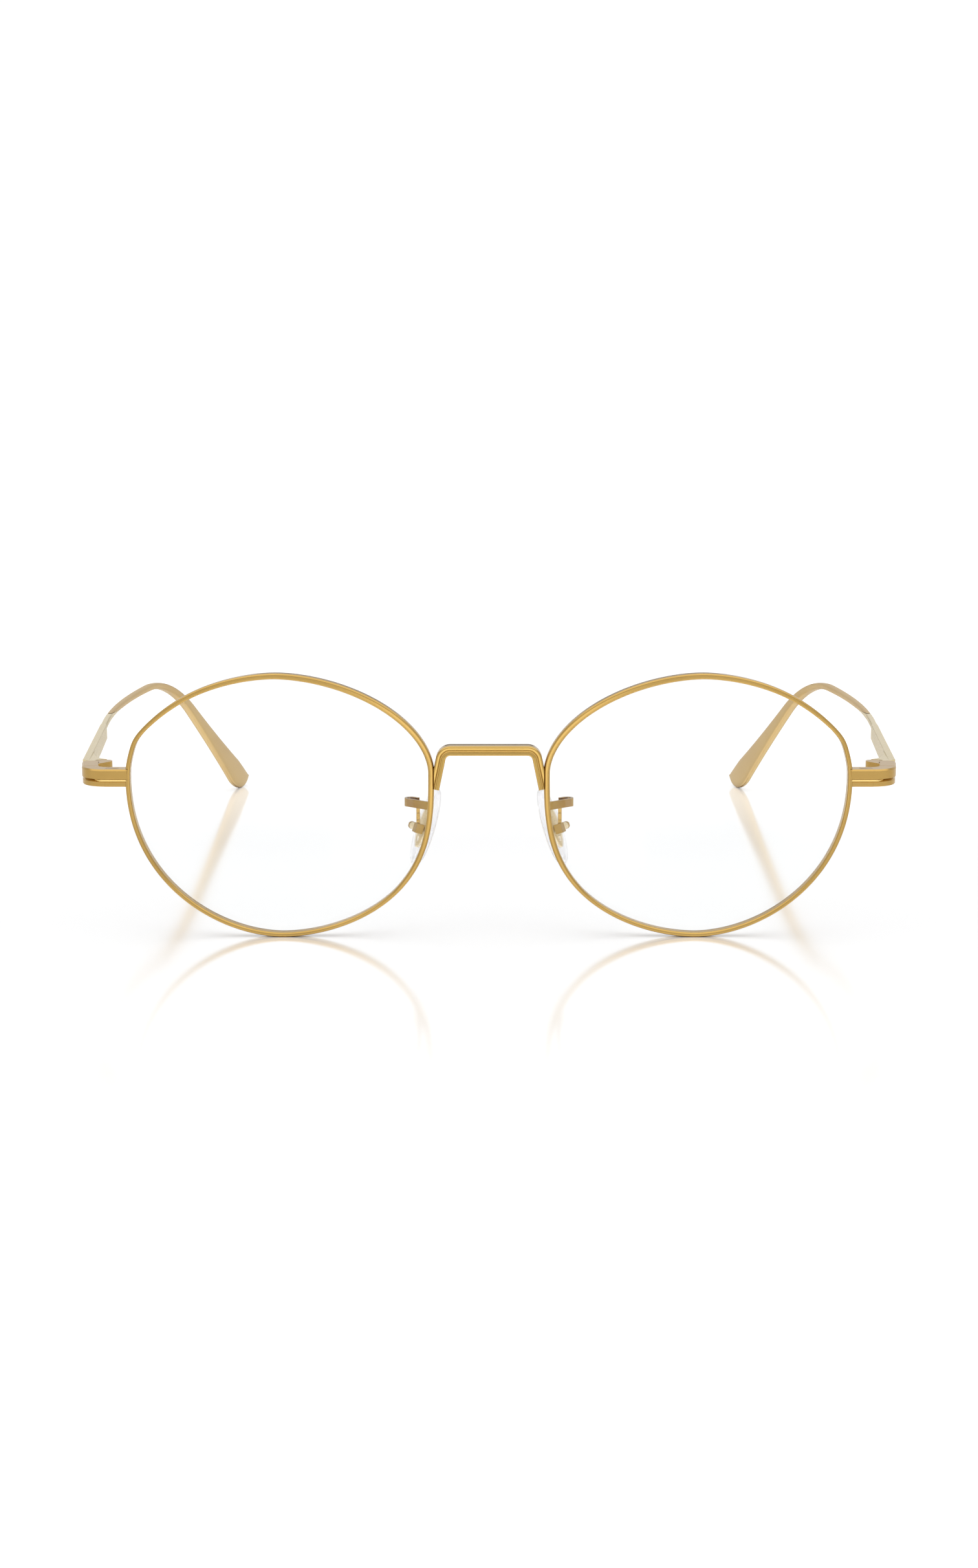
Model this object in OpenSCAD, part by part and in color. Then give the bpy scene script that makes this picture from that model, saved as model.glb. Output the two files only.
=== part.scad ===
// Round metal eyeglasses standing open on a table, as a full set of separate pieces.
// The wearer's left side is +X, the front faces -Y and the table is at Z = 0.

/* [Lenses] */
// Width of one lens, boxed
lens_w = 50; // [46:0.1:54]
// Height of one lens, boxed
lens_h = 43.3; // [38:0.1:48]
// Distance between the two lenses
lens_gap = 18.9; // [16:0.1:24]
// Thickness of a lens
lens_t = 1.8; // [1.4:0.1:2.6]
// Height of the bevel round a lens
bevel_h = 0.4; // [0.3:0.05:0.6]
// Width of the bevel where it leaves the lens edge
bevel_w = 0.8; // [0.5:0.05:1]
// Radius of the curve that lenses and rims follow
base_r = 130; // [95:1:300]
// Height of the widest level on the temple side, above the lens middle
wide_outer = 4.7; // [2:0.1:8]
// Height of the widest level on the nose side, above the lens middle
wide_inner = 5.6; // [2:0.1:8]
// Shift of the top of the outline towards the temple
top_shift = 0.5; // [0:0.1:3]
// Shift of the bottom of the outline towards the nose
low_shift = 0.2; // [0:0.1:3]
// Fullness of the outline beside its top, 2 is an ellipse
top_form = 1.81; // [1.7:0.01:2.4]
// Fullness of the outline beside its bottom
low_form = 1.83; // [1.7:0.01:2.4]
// Steepness of the upper outline on the temple side, 2 is an ellipse
upper_outer_form = 2.1; // [1.7:0.01:2.6]
// Steepness of the upper outline on the nose side
upper_inner_form = 1.82; // [1.6:0.01:2.6]
// Steepness of the lower outline on the temple side
lower_outer_form = 2.18; // [1.8:0.01:2.8]
// Steepness of the lower outline on the nose side
lower_inner_form = 3; // [2:0.01:3.4]

/* [Rims] */
// Thickness of the rim wire across its face
rim_w = 0.75; // [0.7:0.05:1.4]
// Depth of the rim wire from front to back
rim_d = 2; // [1.7:0.1:3]
// Rounding of the rim wire's edges
rim_edge = 0.15; // [0.05:0.05:0.25]
// Play between lens and rim
lens_play = 0.05; // [0.03:0.01:0.1]

/* [Bridge] */
// Height of the bridge bar's middle above the lens middle
bar_rise = 9.2; // [7:0.1:13]
// Height of the bridge's feet above the lens middle
foot_rise = 2.8; // [1:0.1:5]
// Lean of the bridge's legs from upright
leg_lean = 11.8; // [8:0.2:20]
// Bend radius at the bridge's corners, to the bar's middle
corner_r = 1.6; // [1:0.1:2.4]
// Thickness of the bridge bar seen from the front
bar_h = 1.6; // [1.2:0.05:2]
// Depth of the bridge bar from front to back
bar_d = 3; // [2.2:0.1:4]
// How far the bridge stands in front of the end pieces
bar_proud = 0.3; // [0:0.1:0.8]
// Share of the bar's face that the broad upper rib takes
rib_share = 0.41; // [0.35:0.01:0.5]
// Depth of the grooves between the ribs
rib_groove = 0.22; // [0.1:0.02:0.4]

/* [End pieces] */
// Height of the rim's split above the lens middle
split_rise = 4.4; // [3:0.1:6]
// Height of the upper tier, above the split
upper_h = 1.7; // [1.4:0.1:2.4]
// Height of the lower tier, below the split
lower_h = 1.2; // [1:0.1:2]
// Gap between the two halves of the closing block
split_gap = 0.06; // [0.04:0.02:0.3]
// Reach of the end piece beyond the rim
end_reach = 8.7; // [8.4:0.1:12]
// Thickness of the end piece bar, front to back
end_t = 2.7; // [2.4:0.1:3.2]
// Outer radius of the end piece's corner
end_corner = 4.4; // [3.4:0.1:4.6]
// Outward lean of the end piece's side, towards the joint
end_splay = 10; // [4:0.5:12]
// Chamfer along the top edge
end_edge = 0.25; // [0.1:0.05:0.4]
// Chamfer on the lower tier's upper edge, seen as a bright groove
tier_edge = 0.4; // [0.2:0.05:0.6]
// Distance from the front face back to the temple's joint
joint_y = 9.1; // [8:0.1:12]
// Depth of the V notch on the outside of the joint
notch_d = 1.1; // [0.6:0.1:1.4]
// Width of half the V notch
notch_w = 0.85; // [0.3:0.05:1.1]

/* [Hinges] */
// Distance of the hinge axis inside the end piece's outer face
hinge_in = 3.7; // [3.5:0.05:4.2]
// Radius of the hinge knuckles
knuckle_r = 1.4; // [1.2:0.05:1.5]
// Height of the temple's middle knuckle
knuckle_h = 0.9; // [0.8:0.05:1.1]
// Radius of the hinge screw's shaft
hinge_screw_r = 0.5; // [0.4:0.05:0.6]
// Radius of the hinge screw's head
hinge_head_r = 0.85; // [0.75:0.05:0.95]
// Height of the hinge screw's head
hinge_head_h = 0.35; // [0.25:0.05:0.45]
// Length of the slanted front of the hinge leaf
leaf_slant = 3; // [2:0.1:4]
// Running clearance of pins in their bores
run_play = 0.04; // [0.02:0.01:0.08]
// Clearance between faces that turn past each other
side_play = 0.06; // [0.04:0.01:0.1]

/* [Closing screws] */
// Radius of the closing screw's shaft
lock_screw_r = 0.5; // [0.4:0.05:0.6]
// Radius of the closing screw's head
lock_head_r = 1; // [0.8:0.05:1.1]
// Height of the closing screw's head
lock_head_h = 0.5; // [0.4:0.05:0.7]
// Distance of the closing screw from the rim
lock_reach = 2.3; // [2:0.1:2.6]

/* [Temples] */
// Thickness of the temple blade
blade_t = 1.2; // [0.9:0.05:1.4]
// Length of the temple blade behind the joint
blade_len = 36; // [25:1:42]
// Length of the blade's even front stretch
blade_even = 22; // [15:1:24]
// Rise of the blade's lower edge along its even stretch
even_rise = 0.3; // [0:0.1:0.6]
// Rise of the blade's lower edge at its end
blade_rise = 0.9; // [0.4:0.1:1.2]
// Slope of the temple upwards to the rear
temple_slope = 1.2; // [0:0.05:2]
// Outward splay of the temple's front stretch
splay_out = 5.1; // [3:0.1:8]
// Inward turn of the temple behind the bow
splay_in = 17.4; // [10:0.1:20]
// Distance from the joint to the start of the bow
bow_start = 41; // [38:1:50]
// Radius of the bow
bow_r = 170; // [130:1:200]
// Height of the thin stretch behind the blade
wire_h = 1; // [0.8:0.05:1.3]
// Reach of the gusset along the blade
gusset_len = 10.5; // [8:0.5:14]

/* [Temple tips] */
// Distance from the joint to the front of the tip
tip_start = 48; // [44:1:60]
// Length of the slanted seam between temple and tip
seam_len = 13; // [8:1:16]
// Distance from the joint to the start of the bend
bend_start = 82.6; // [76:0.1:96]
// Radius of the bend behind the ear
bend_r = 38.7; // [28:0.1:46]
// Downward angle of the tip behind the bend
bend_drop = 37.7; // [32:0.1:44]
// Height of the tip's slender stretch
tip_h = 1.05; // [0.9:0.05:1.5]
// Thickness of the tip behind the bend
tip_t = 1.95; // [1.5:0.05:2.6]
// Width of the paddle at its end
paddle_w = 5.8; // [4:0.1:7]
// Swell of the tip, higher keeps it slender for longer
tip_swell = 4; // [2:0.1:5]
// Length of the rounding at the tip's end
tip_round = 7.1; // [3:0.1:9]
// Upward lean of that rounding, 0 is even and 1 keeps the upper edge straight
tip_lean = 1; // [0:0.05:1]
// Squareness of the tip's section, 2 is an ellipse
tip_form = 3; // [2.2:0.1:4]

/* [Nose pads] */
// Distance of a pad's middle from the middle of the frame
pad_x = 10.7; // [10:0.1:12]
// Distance of a pad's middle behind the front face
pad_y = 9; // [8.4:0.1:11]
// Height of a pad's middle below the lens middle
pad_drop = 5.2; // [4:0.1:6.5]
// Length of a pad
pad_len = 13.6; // [11:0.1:14.6]
// Width of a pad
pad_w = 6; // [5.4:0.1:7.2]
// Thickness of a pad
pad_t = 2; // [1.8:0.1:2.4]
// Splay of the pads, wider at the rear
pad_splay = 23; // [16:1:32]
// Lean of the pads, wider at the bottom
pad_lean = 19; // [12:1:24]
// Length of the metal leaf inside a pad
leaf_len = 7.6; // [6:0.1:9]
// Width of the metal leaf inside a pad
leaf_w = 3.4; // [2.6:0.1:4]
// Thickness of the metal leaf inside a pad
leaf_t = 0.45; // [0.3:0.05:0.6]

/* [Pad arms] */
// Distance of the pad's axis outside the pad's middle plane
pivot_out = 1.95; // [1.85:0.05:2.5]
// Height of the pad's axis below the pad's middle
pivot_low = 0.5; // [0:0.1:1.4]
// Radius of the barrel on the pad's leaf
barrel_r = 0.62; // [0.55:0.01:0.7]
// Length of the barrel on the pad's leaf
barrel_len = 1.8; // [1.5:0.1:2.6]
// Radius of the pad screw's shaft
pad_screw_r = 0.35; // [0.25:0.05:0.4]
// Radius of the pad screw's head
pad_head_r = 0.65; // [0.55:0.05:0.8]
// Height of the pad screw's head
pad_head_h = 0.5; // [0.4:0.05:0.8]
// Length of the arm's block along the screw
block_len = 1.4; // [1.2:0.1:1.8]
// Width of the arm's block
block_w = 1.3; // [1.1:0.1:1.5]
// Height of the arm's block
block_h = 1.6; // [1.4:0.1:2.2]
// Height of the ribbon that the arm is bent from
ribbon_h = 1.35; // [1:0.05:1.8]
// Thickness of the ribbon
ribbon_t = 0.42; // [0.3:0.02:0.55]
// Height of the ribbon's upper edge above the lens middle
ribbon_rise = 0.2; // [-0.5:0.1:1.5]
// Reach of the ribbon's loop towards the temple, from its foot
loop_reach = 4.4; // [3.6:0.1:4.8]
// Radius of the ribbon's loop
loop_r = 0.95; // [0.7:0.05:1.1]
// Side of the square stalk under the ribbon
stalk_w = 0.62; // [0.5:0.02:0.75]

/* [Hidden] */

GOLD = "#c9a45c";
BRIGHT_GOLD = "#dcb76a";
SATIN = "#d8c3a0";
CLEAR = [0.93, 0.95, 0.97, 0.35];
PAD_CLEAR = [0.95, 0.94, 0.92, 0.55];

ROUND = 48;
RIM_STEP = 5;
LENS_RINGS = [0.94, 0.64, 0.34];
PAD_STEP = 12;
PAD_RINGS = [1, 0.93, 0.78, 0.45];
CORNER_STEPS = 7;
CORNER_LAP = 1;
CORNER_EASE = 0.01;
OVER = 1;

// Small fixed measures: screw slots, tier steps, rib roundings, pad neck and stalk grooves
SLOT_SHARE = 0.24;
SLOT_DEPTH = 0.35;
TIER_STEP = 0.1;
TIER_BACK = 0.3;
KNUCKLE_SET = 0.05;
SCREW_PROUD = 0.03;
BORE_ROOF = 0.35;
RIB_EASE = 0.08;
RIB_LIP = 0.12;
FINE_SHARE = 0.37;
NECK_W = 1.5;
NECK_H = 0.8;
LEAF_BACK = 0.15;
LEAF_HOLE_R = 0.55;
LEAF_FORM = 1.7;
PAD_FORM = 2.2;
PAD_DOME = 2.6;
PAD_TAPER = 0.1;
STALK_GROOVE = 0.12;
STALK_PARTS = 3;
FOOT_STEP = [0.15, 0.5];
LOOP_SLANT = 0.95;
LOOP_BACK = 0.35;
LOOP_SHARE = 0.8;
WIRE_FORM = 4;
SEAM_GAP = 0.01;
GUSSET_STEP = 0.125;
BLOCK_WALL = 0.2;

// Rim and lens positions
rim_in = bevel_h - lens_play;
rim_out = rim_w - rim_in;
lens_x = (lens_w + lens_gap) / 2;
lens_z = lens_h / 2 + rim_out;
rim_nose_x = lens_gap / 2 - rim_out;
rim_temple_x = lens_x + lens_w / 2 + rim_out;

// Signed power, for outlines with rounded corners
function bulge(v, form) = sign(v) * pow(abs(v), 2 / form);

// Point of the lens outline at parameter t, from the lens middle, +X towards the temple
function outline_shift(t) = sin(t) >= 0 ? top_shift : -low_shift;
function outline_level(t) = cos(t) >= 0 ? wide_outer : wide_inner;
function across_form(t) = sin(t) >= 0 ? top_form : low_form;
function upright_form(t) =
    sin(t) >= 0 ? (cos(t) >= 0 ? upper_outer_form : upper_inner_form) :
    (cos(t) >= 0 ? lower_outer_form : lower_inner_form);
function outline_half_w(t) = lens_w / 2 - sign(cos(t)) * outline_shift(t);
function outline_half_h(t) = lens_h / 2 - sign(sin(t)) * outline_level(t);
function outline(t) = [
    outline_shift(t) + outline_half_w(t) * bulge(cos(t), across_form(t)),
    outline_level(t) + outline_half_h(t) * bulge(sin(t), upright_form(t))
];

// Outward direction of the outline, and the outline grown by g
function outline_out(t) = let (d = outline(t + 0.5) - outline(t - 0.5)) [d.y, -d.x] / norm(d);
function grown(t, g) = outline(t) + g * outline_out(t);

// Parameter at which the temple side of the outline has the height z
function outline_at(z) = let (
        up = z >= wide_outer,
        half = up ? lens_h / 2 - wide_outer : lens_h / 2 + wide_outer,
        form = up ? upper_outer_form : lower_outer_form)
    (up ? 1 : -1) * asin(pow(abs(z - wide_outer) / half, form / 2));

// Depth of the common curve behind its foremost point
function sag(p) = base_r - sqrt(base_r * base_r - p.x * p.x - p.y * p.y);
rim_face = -sag([lens_w / 2, split_rise]);

rim_ts = concat(outline_at(split_rise + split_gap / 2),
                [for (t = [RIM_STEP : RIM_STEP : 360 - RIM_STEP]) t],
                360 + outline_at(split_rise - split_gap / 2));

// End piece positions
end_x = rim_temple_x + end_reach;
end_z = lens_z + split_rise;
end_top = end_z + upper_h;
end_low = end_z - lower_h;
lock_x = rim_temple_x + lock_reach;
lock_y = end_t / 2;
corner_low = end_corner * (1 - sin(end_splay));
corner_x = end_x - end_corner * cos(end_splay) - (joint_y - corner_low) * tan(end_splay);
lock_end = corner_x - split_gap;
lock_foot = end_low + 0.2;

// Hinge positions
hinge_x = end_x - hinge_in;
hinge_mid = (end_top + end_low) / 2 - 0.1;
slot_h = knuckle_h + 2 * side_play;
slot_r = knuckle_r + side_play + 0.04;
hinge_bore_top = end_top - BORE_ROOF;
knuckle_low = end_low + KNUCKLE_SET;
knuckle_tall = end_top - end_low - 2 * KNUCKLE_SET;

// Path of the temple: h runs along its plan view from the joint
temple_x = end_x - blade_t / 2;
temple_y = joint_y + side_play;
temple_z = end_top - wire_h / 2;
bow_turn = splay_out + splay_in;
bow_end = bow_start + bow_r * bow_turn * PI / 180;
bow_from = [temple_x + bow_start * sin(splay_out), temple_y + bow_start * cos(splay_out)];
bow_centre = bow_from + bow_r * [-cos(splay_out), sin(splay_out)];
bow_to = bow_centre + bow_r * [cos(splay_in), sin(splay_in)];
function heading(h) = splay_out - bow_turn * min(1, max(0, (h - bow_start) / (bow_end - bow_start)));
function plan(h) =
    h <= bow_start ? [temple_x, temple_y] + h * [sin(splay_out), cos(splay_out)] :
    h <= bow_end ? bow_centre + bow_r * [cos(heading(h)), -sin(heading(h))] :
    bow_to + (h - bow_end) * [-sin(splay_in), cos(splay_in)];

bend_peak = bend_start + bend_r * sin(temple_slope);
bend_end = bend_peak + bend_r * sin(bend_drop);
bend_z = temple_z + bend_start * tan(temple_slope);
bend_low = bend_z - bend_r * cos(temple_slope);
drop_z = bend_low + bend_r * cos(bend_drop);
function height(h) =
    h <= bend_start ? temple_z + h * tan(temple_slope) :
    h <= bend_end ? bend_low + sqrt(bend_r * bend_r - pow(h - bend_peak, 2)) :
    drop_z - (h - bend_end) * tan(bend_drop);
function place(h) = [plan(h).x, plan(h).y, height(h)];
function along(h) = let (d = place(h + 0.1) - place(h - 0.1)) d / norm(d);
function outward(h) = [cos(heading(h)), -sin(heading(h)), 0];

// The tip ends in a rounding that stands on the table
function round_w(a) = paddle_w * pow(cos(a), 2 / 3);
function round_lift(a) = tip_lean * (paddle_w - round_w(a)) / 2;
tip_depth = max([for (a = [0 : 5 : 90])
    tip_round * sin(a) * sin(bend_drop) + (round_w(a) / 2 - round_lift(a)) * cos(bend_drop)]);
paddle_h = bend_end + (drop_z - tip_depth) / tan(bend_drop);
function tip_part(h, last) = min(1, max(0, (h - tip_start) / (last - tip_start)));
function tip_width(h) = tip_h + (paddle_w - tip_h) * pow(tip_part(h, paddle_h), tip_swell);
function tip_thick(h) = blade_t + (tip_t - blade_t) * tip_part(h, bend_start);

// A rounded section of width w and thickness t at h, moved on along the path and lifted
function section(h, w, t, form, extra = 0, lift = 0) = let (out = outward(h), up = cross(out, along(h)))
    [for (a = [15 : 30 : 345]) place(h) + extra * along(h) + lift * up
        + t / 2 * bulge(cos(a), form) * out + w / 2 * bulge(sin(a), form) * up];

tip_hs = concat([for (h = [tip_start - 2 : 6 : bend_start - 1]) h],
                [for (k = [0 : 8]) bend_start + (bend_end - bend_start) * k / 8],
                [for (k = [1 : 7]) bend_end + (paddle_h - bend_end) * k / 7]);
tip_rings = concat([for (h = tip_hs) section(h, tip_width(h), tip_thick(h), tip_form)],
                   [for (a = [15 : 15 : 75]) section(paddle_h, round_w(a), tip_t * (0.55 + 0.45 * cos(a)),
                                                     tip_form, tip_round * sin(a), round_lift(a))],
                   [section(paddle_h, round_w(88), tip_t * 0.45, tip_form, tip_round, round_lift(88))]);

// Origin: under the middle of the part's own box
part_front = rim_face + (rim_d - lens_t) / 2;
part_back = max([for (ring = tip_rings) for (p = ring) p.y]);
origin_y = (part_front + part_back) / 2;

// A path through points, with its inner corners bent to radius r
function unit(v) = v / norm(v);
function corner(a, b, c, r) = let (
        u = unit(a - b),
        v = unit(c - b),
        half = acos(u * v) / 2,
        centre = b + unit(u + v) * r / sin(half),
        from = b + u * r / tan(half) - centre,
        to = b + v * r / tan(half) - centre,
        turn = 180 - 2 * half)
    [for (k = [0 : CORNER_STEPS]) let (f = k / CORNER_STEPS)
        centre + (from * sin((1 - f) * turn) + to * sin(f * turn)) / sin(turn)];
function bent(points, r) = concat([points[0]],
    [for (k = [1 : len(points) - 2]) each corner(points[k - 1], points[k], points[k + 1], r)],
    [points[len(points) - 1]]);

// Sideways direction of a flat path at its point k, to the left of its run
function side_of(path, k) = let (
        a = path[max(0, k - 1)],
        b = path[min(len(path) - 1, k + 1)],
        d = unit(b - a))
    [-d.y, d.x];

// Triangles between one ring of n points and the next, for m rings
function ring_sides(n, m) = [for (i = [0 : m - 2]) for (j = [0 : n - 1]) let (
        a = i * n + j,
        b = i * n + (j + 1) % n,
        c = (i + 1) * n + (j + 1) % n,
        d = (i + 1) * n + j)
    each [[a, b, c], [a, c, d]]];
function reversed(list) = [for (k = [len(list) - 1 : -1 : 0]) list[k]];

// A solid through rings of equally many points; caps lists the end faces' convex pieces
module loft(rings, caps = undef) {
    n = len(rings[0]);
    m = len(rings);
    faces = is_undef(caps) ? [[for (j = [0 : n - 1]) j]] : caps;
    polyhedron([for (ring = rings) each ring],
               concat(ring_sides(n, m), [for (f = faces) reversed(f)],
                      [for (f = faces) [for (j = f) (m - 1) * n + j]]), convexity = 6);
}

// A solid through rings, closed by a fan to a point beyond each end
module domed_loft(rings, first, last) {
    n = len(rings[0]);
    m = len(rings);
    first_fan = [for (j = [0 : n - 1]) [(j + 1) % n, j, m * n]];
    last_fan = [for (j = [0 : n - 1]) [(m - 1) * n + j, (m - 1) * n + (j + 1) % n, m * n + 1]];
    polyhedron(concat([for (ring = rings) each ring], [first, last]),
               concat(ring_sides(n, m), first_fan, last_fan), convexity = 6);
}

// A flat shape in X and Z, drawn out along Y from y0 to y1
module from_front(y0, y1) {
    translate([0, y1, 0]) rotate([90, 0, 0]) linear_extrude(y1 - y0) children();
}

// One side of the frame: 1 is the wearer's left and -1 the right
module on_side(side) {
    translate([0, -origin_y, 0])
        if (side > 0) {
            children();
        } else {
            mirror([1, 0, 0]) children();
        }
}

// Everything inside the outer face of the rim
module rim_shadow() {
    translate([lens_x, 0, lens_z]) from_front(-5, 8)
        polygon([for (t = rim_ts) grown(t, rim_out)]);
}

// Rim: a bent wire with a groove for the lens, split at the closing block
module rim(side) {
    groove = bevel_w / 2 + lens_play;
    mid = rim_d / 2;
    profile = [
        [-rim_in + rim_edge, 0], [rim_out - rim_edge, 0], [rim_out, rim_edge],
        [rim_out, rim_d - rim_edge], [rim_out - rim_edge, rim_d], [-rim_in + rim_edge, rim_d],
        [-rim_in, rim_d - rim_edge], [-rim_in, mid + groove], [lens_play, mid + lens_play],
        [lens_play, mid - lens_play], [-rim_in, mid - groove], [-rim_in, rim_edge]
    ];
    ends = [[9, 10, 11, 0, 1, 2], [2, 3, 8, 9], [3, 4, 5, 6, 7, 8]];
    color(GOLD) on_side(side) translate([lens_x, rim_face, lens_z])
        loft([for (t = rim_ts) let (back = sag(outline(t)))
            [for (q = profile) let (p = grown(t, q.x)) [p.x, back + q.y, p.y]]], ends);
}

// Lens: a thin curved shell with a bevel that sits in the rim's groove
module lens(side) {
    ts = [for (t = [360 - RIM_STEP : -RIM_STEP : 0]) t];
    front = (rim_d - lens_t) / 2;
    back = (rim_d + lens_t) / 2;
    function ring(f, y) = [for (t = ts) let (p = f * grown(t, -bevel_h)) [p.x, sag(p) + y, p.y]];
    function edge(g, y) = [for (t = ts) let (p = grown(t, g)) [p.x, sag(outline(t)) + y, p.y]];
    rings = concat(
        [for (k = [len(LENS_RINGS) - 1 : -1 : 0]) ring(LENS_RINGS[k], front)],
        [ring(1, front), edge(-bevel_h, (rim_d - bevel_w) / 2), edge(0, rim_d / 2),
         edge(-bevel_h, (rim_d + bevel_w) / 2), ring(1, back)],
        [for (f = LENS_RINGS) ring(f, back)]);
    color(CLEAR) on_side(side) translate([lens_x, rim_face, lens_z])
        domed_loft(rings, [0, front, 0], [0, back, 0]);
}

// Bridge: a bar and two leaning legs in one ribbed section, soldered to both rims
module bridge() {
    half = bar_h / 2;
    rib = half - bar_h * rib_share;
    fine = (half + rib) * FINE_SHARE;
    profile = [
        [half, end_edge], [half - end_edge, 0], [rib + RIB_LIP, 0], [rib, rib_groove],
        [rib - RIB_EASE, RIB_EASE], [rib - fine + RIB_EASE, RIB_EASE], [rib - fine, rib_groove],
        [rib - fine - RIB_EASE, RIB_LIP], [RIB_EASE - half, RIB_LIP], [-half, rib_groove],
        [-half, bar_d - end_edge], [end_edge - half, bar_d], [half - end_edge, bar_d],
        [half, bar_d - end_edge]
    ];
    ends = [[12, 13, 0, 1, 2, 3], [3, 4, 5, 6, 11, 12], [6, 7, 8, 9, 10, 11]];
    bar_z = lens_z + bar_rise;
    foot = [rim_nose_x - 0.05, lens_z + foot_rise];
    knee = [foot.x - (bar_rise - foot_rise) * tan(leg_lean), bar_z];
    path = bent([[-foot.x, foot.y], [-knee.x, knee.y], knee, foot], corner_r);
    color(BRIGHT_GOLD) translate([0, -origin_y, 0]) difference() {
        loft([for (k = [0 : len(path) - 1]) let (s = side_of(path, k), p = path[k])
            [for (q = profile) [p.x + q.x * s.x, q.y - bar_proud, p.y + q.x * s.y]]], ends);
        rim_shadow();
        mirror([1, 0, 0]) rim_shadow();
    }
}

// Outlines of the end piece's two tiers, depth from the outer face against height
module upper_tier() {
    low = end_z + split_gap / 2;
    polygon([[0, low + TIER_STEP / 2], [0, end_top - end_edge], [end_edge, end_top],
             [end_t, end_top], [end_t, low], [TIER_BACK, low]]);
}
module lower_tier() {
    high = end_z - split_gap / 2;
    polygon([[TIER_STEP, end_low + TIER_STEP], [TIER_STEP, high - tier_edge],
             [TIER_STEP + tier_edge, high], [end_t, high], [end_t, end_low], [2 * TIER_STEP, end_low]]);
}
module groove_web() {
    translate([TIER_BACK + tier_edge, end_z - split_gap])
        square([end_t - TIER_BACK - tier_edge, 2 * split_gap]);
}

// A tier run along the front from x0 to x1
module tier_along(x0, x1) {
    translate([x1, 0, 0]) rotate([90, 0, -90]) mirror([1, 0, 0]) linear_extrude(x1 - x0) children();
}

// A tier run round the corner and back to the joint; the bend laps into the leg, a little slimmer
module tier_return() {
    middle = [end_t / 2, (end_top + end_low) / 2];
    share = 1 - 2 * CORNER_EASE / end_t;
    translate([corner_x, end_corner, 0]) rotate([0, 0, -90])
        rotate_extrude(angle = 90 - end_splay + CORNER_LAP, $fn = 2 * ROUND)
            translate([end_corner, 0]) mirror([1, 0, 0])
                translate(middle) scale([share, share]) translate(-middle) children();
    intersection() {
        translate([end_x, joint_y, 0]) rotate([90, 0, -end_splay]) mirror([1, 0, 0])
            linear_extrude((joint_y - corner_low) / cos(end_splay)) children();
        translate([0, -OVER, 0]) cube([2 * end_x, joint_y + OVER, 2 * end_top]);
    }
}

// End piece: upper tier from the rim, corner, return leg and the two outer knuckles
module end_piece(side) {
    inner_face = end_x - leaf_slant * tan(end_splay) - end_t / cos(end_splay);
    tangent_from = [inner_face + 0.1, joint_y - leaf_slant];
    to_edge = tangent_from - [hinge_x, joint_y];
    touch = atan2(to_edge.y, to_edge.x) - acos(knuckle_r / norm(to_edge));
    color(GOLD) on_side(side) difference() {
        union() {
            tier_along(rim_temple_x - OVER, corner_x) upper_tier();
            tier_return() {
                upper_tier();
                lower_tier();
                groove_web();
            }
            translate([0, 0, knuckle_low]) linear_extrude(knuckle_tall)
                polygon([tangent_from, [hinge_x, joint_y] + knuckle_r * [cos(touch), sin(touch)],
                         [hinge_x, joint_y], [tangent_from.x, joint_y]]);
            translate([hinge_x, joint_y, knuckle_low]) cylinder(h = knuckle_tall, r = knuckle_r, $fn = ROUND);
        }
        rim_shadow();
        translate([hinge_x, joint_y, hinge_mid - slot_h / 2]) cylinder(h = slot_h, r = slot_r, $fn = ROUND);
        translate([hinge_x, joint_y, end_low - OVER])
            cylinder(h = hinge_bore_top - end_low + OVER, r = hinge_screw_r + run_play, $fn = ROUND);
        translate([hinge_x, joint_y, end_low - OVER])
            cylinder(h = hinge_head_h + KNUCKLE_SET + OVER, r = hinge_head_r + run_play, $fn = ROUND);
        translate([lock_x, lock_y, end_z - OVER])
            cylinder(h = upper_h + 2 * OVER, r = lock_screw_r + run_play, $fn = ROUND);
        translate([lock_x, lock_y, end_top - lock_head_h])
            cylinder(h = lock_head_h + OVER, r = lock_head_r + run_play, $fn = ROUND);
        translate([0, 0, end_low - OVER]) linear_extrude(end_top - end_low + 2 * OVER)
            polygon([[end_x + OVER, joint_y - notch_w * (1 + OVER / notch_d)], [end_x - notch_d, joint_y],
                     [end_x - notch_d, joint_y + OVER], [end_x + OVER, joint_y + OVER]]);
    }
}

// Lower half of the closing block, soldered to the lower end of the split rim
module closing_block(side) {
    color(GOLD) on_side(side) difference() {
        tier_along(rim_temple_x - OVER, lock_end) lower_tier();
        rim_shadow();
        translate([lock_x, lock_y, end_low - OVER])
            cylinder(h = lower_h + 2 * OVER, r = lock_screw_r + run_play, $fn = ROUND);
    }
}

// A slotted screw standing on Z = 0 with its head down
module screw(shaft_r, length, head_r, head_h) {
    difference() {
        union() {
            cylinder(h = head_h, r = head_r, $fn = ROUND);
            cylinder(h = length, r = shaft_r, $fn = ROUND);
        }
        translate([-head_r - OVER, -head_r * SLOT_SHARE / 2, -OVER])
            cube([2 * (head_r + OVER), head_r * SLOT_SHARE, OVER + head_h * SLOT_DEPTH]);
    }
}

// Closing screw: its head lies flush in the top of the end piece
module closing_screw(side) {
    color(BRIGHT_GOLD) on_side(side) translate([lock_x, lock_y, end_top]) rotate([180, 0, 20])
        screw(lock_screw_r, end_top - lock_foot, lock_head_r, lock_head_h - 0.02);
}

// Hinge screw: it enters from below and ends under the blind upper knuckle
module hinge_screw(side) {
    color(BRIGHT_GOLD) on_side(side) translate([hinge_x, joint_y, knuckle_low - SCREW_PROUD])
        screw(hinge_screw_r, hinge_bore_top - knuckle_low - SCREW_PROUD, hinge_head_r, hinge_head_h);
}

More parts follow.
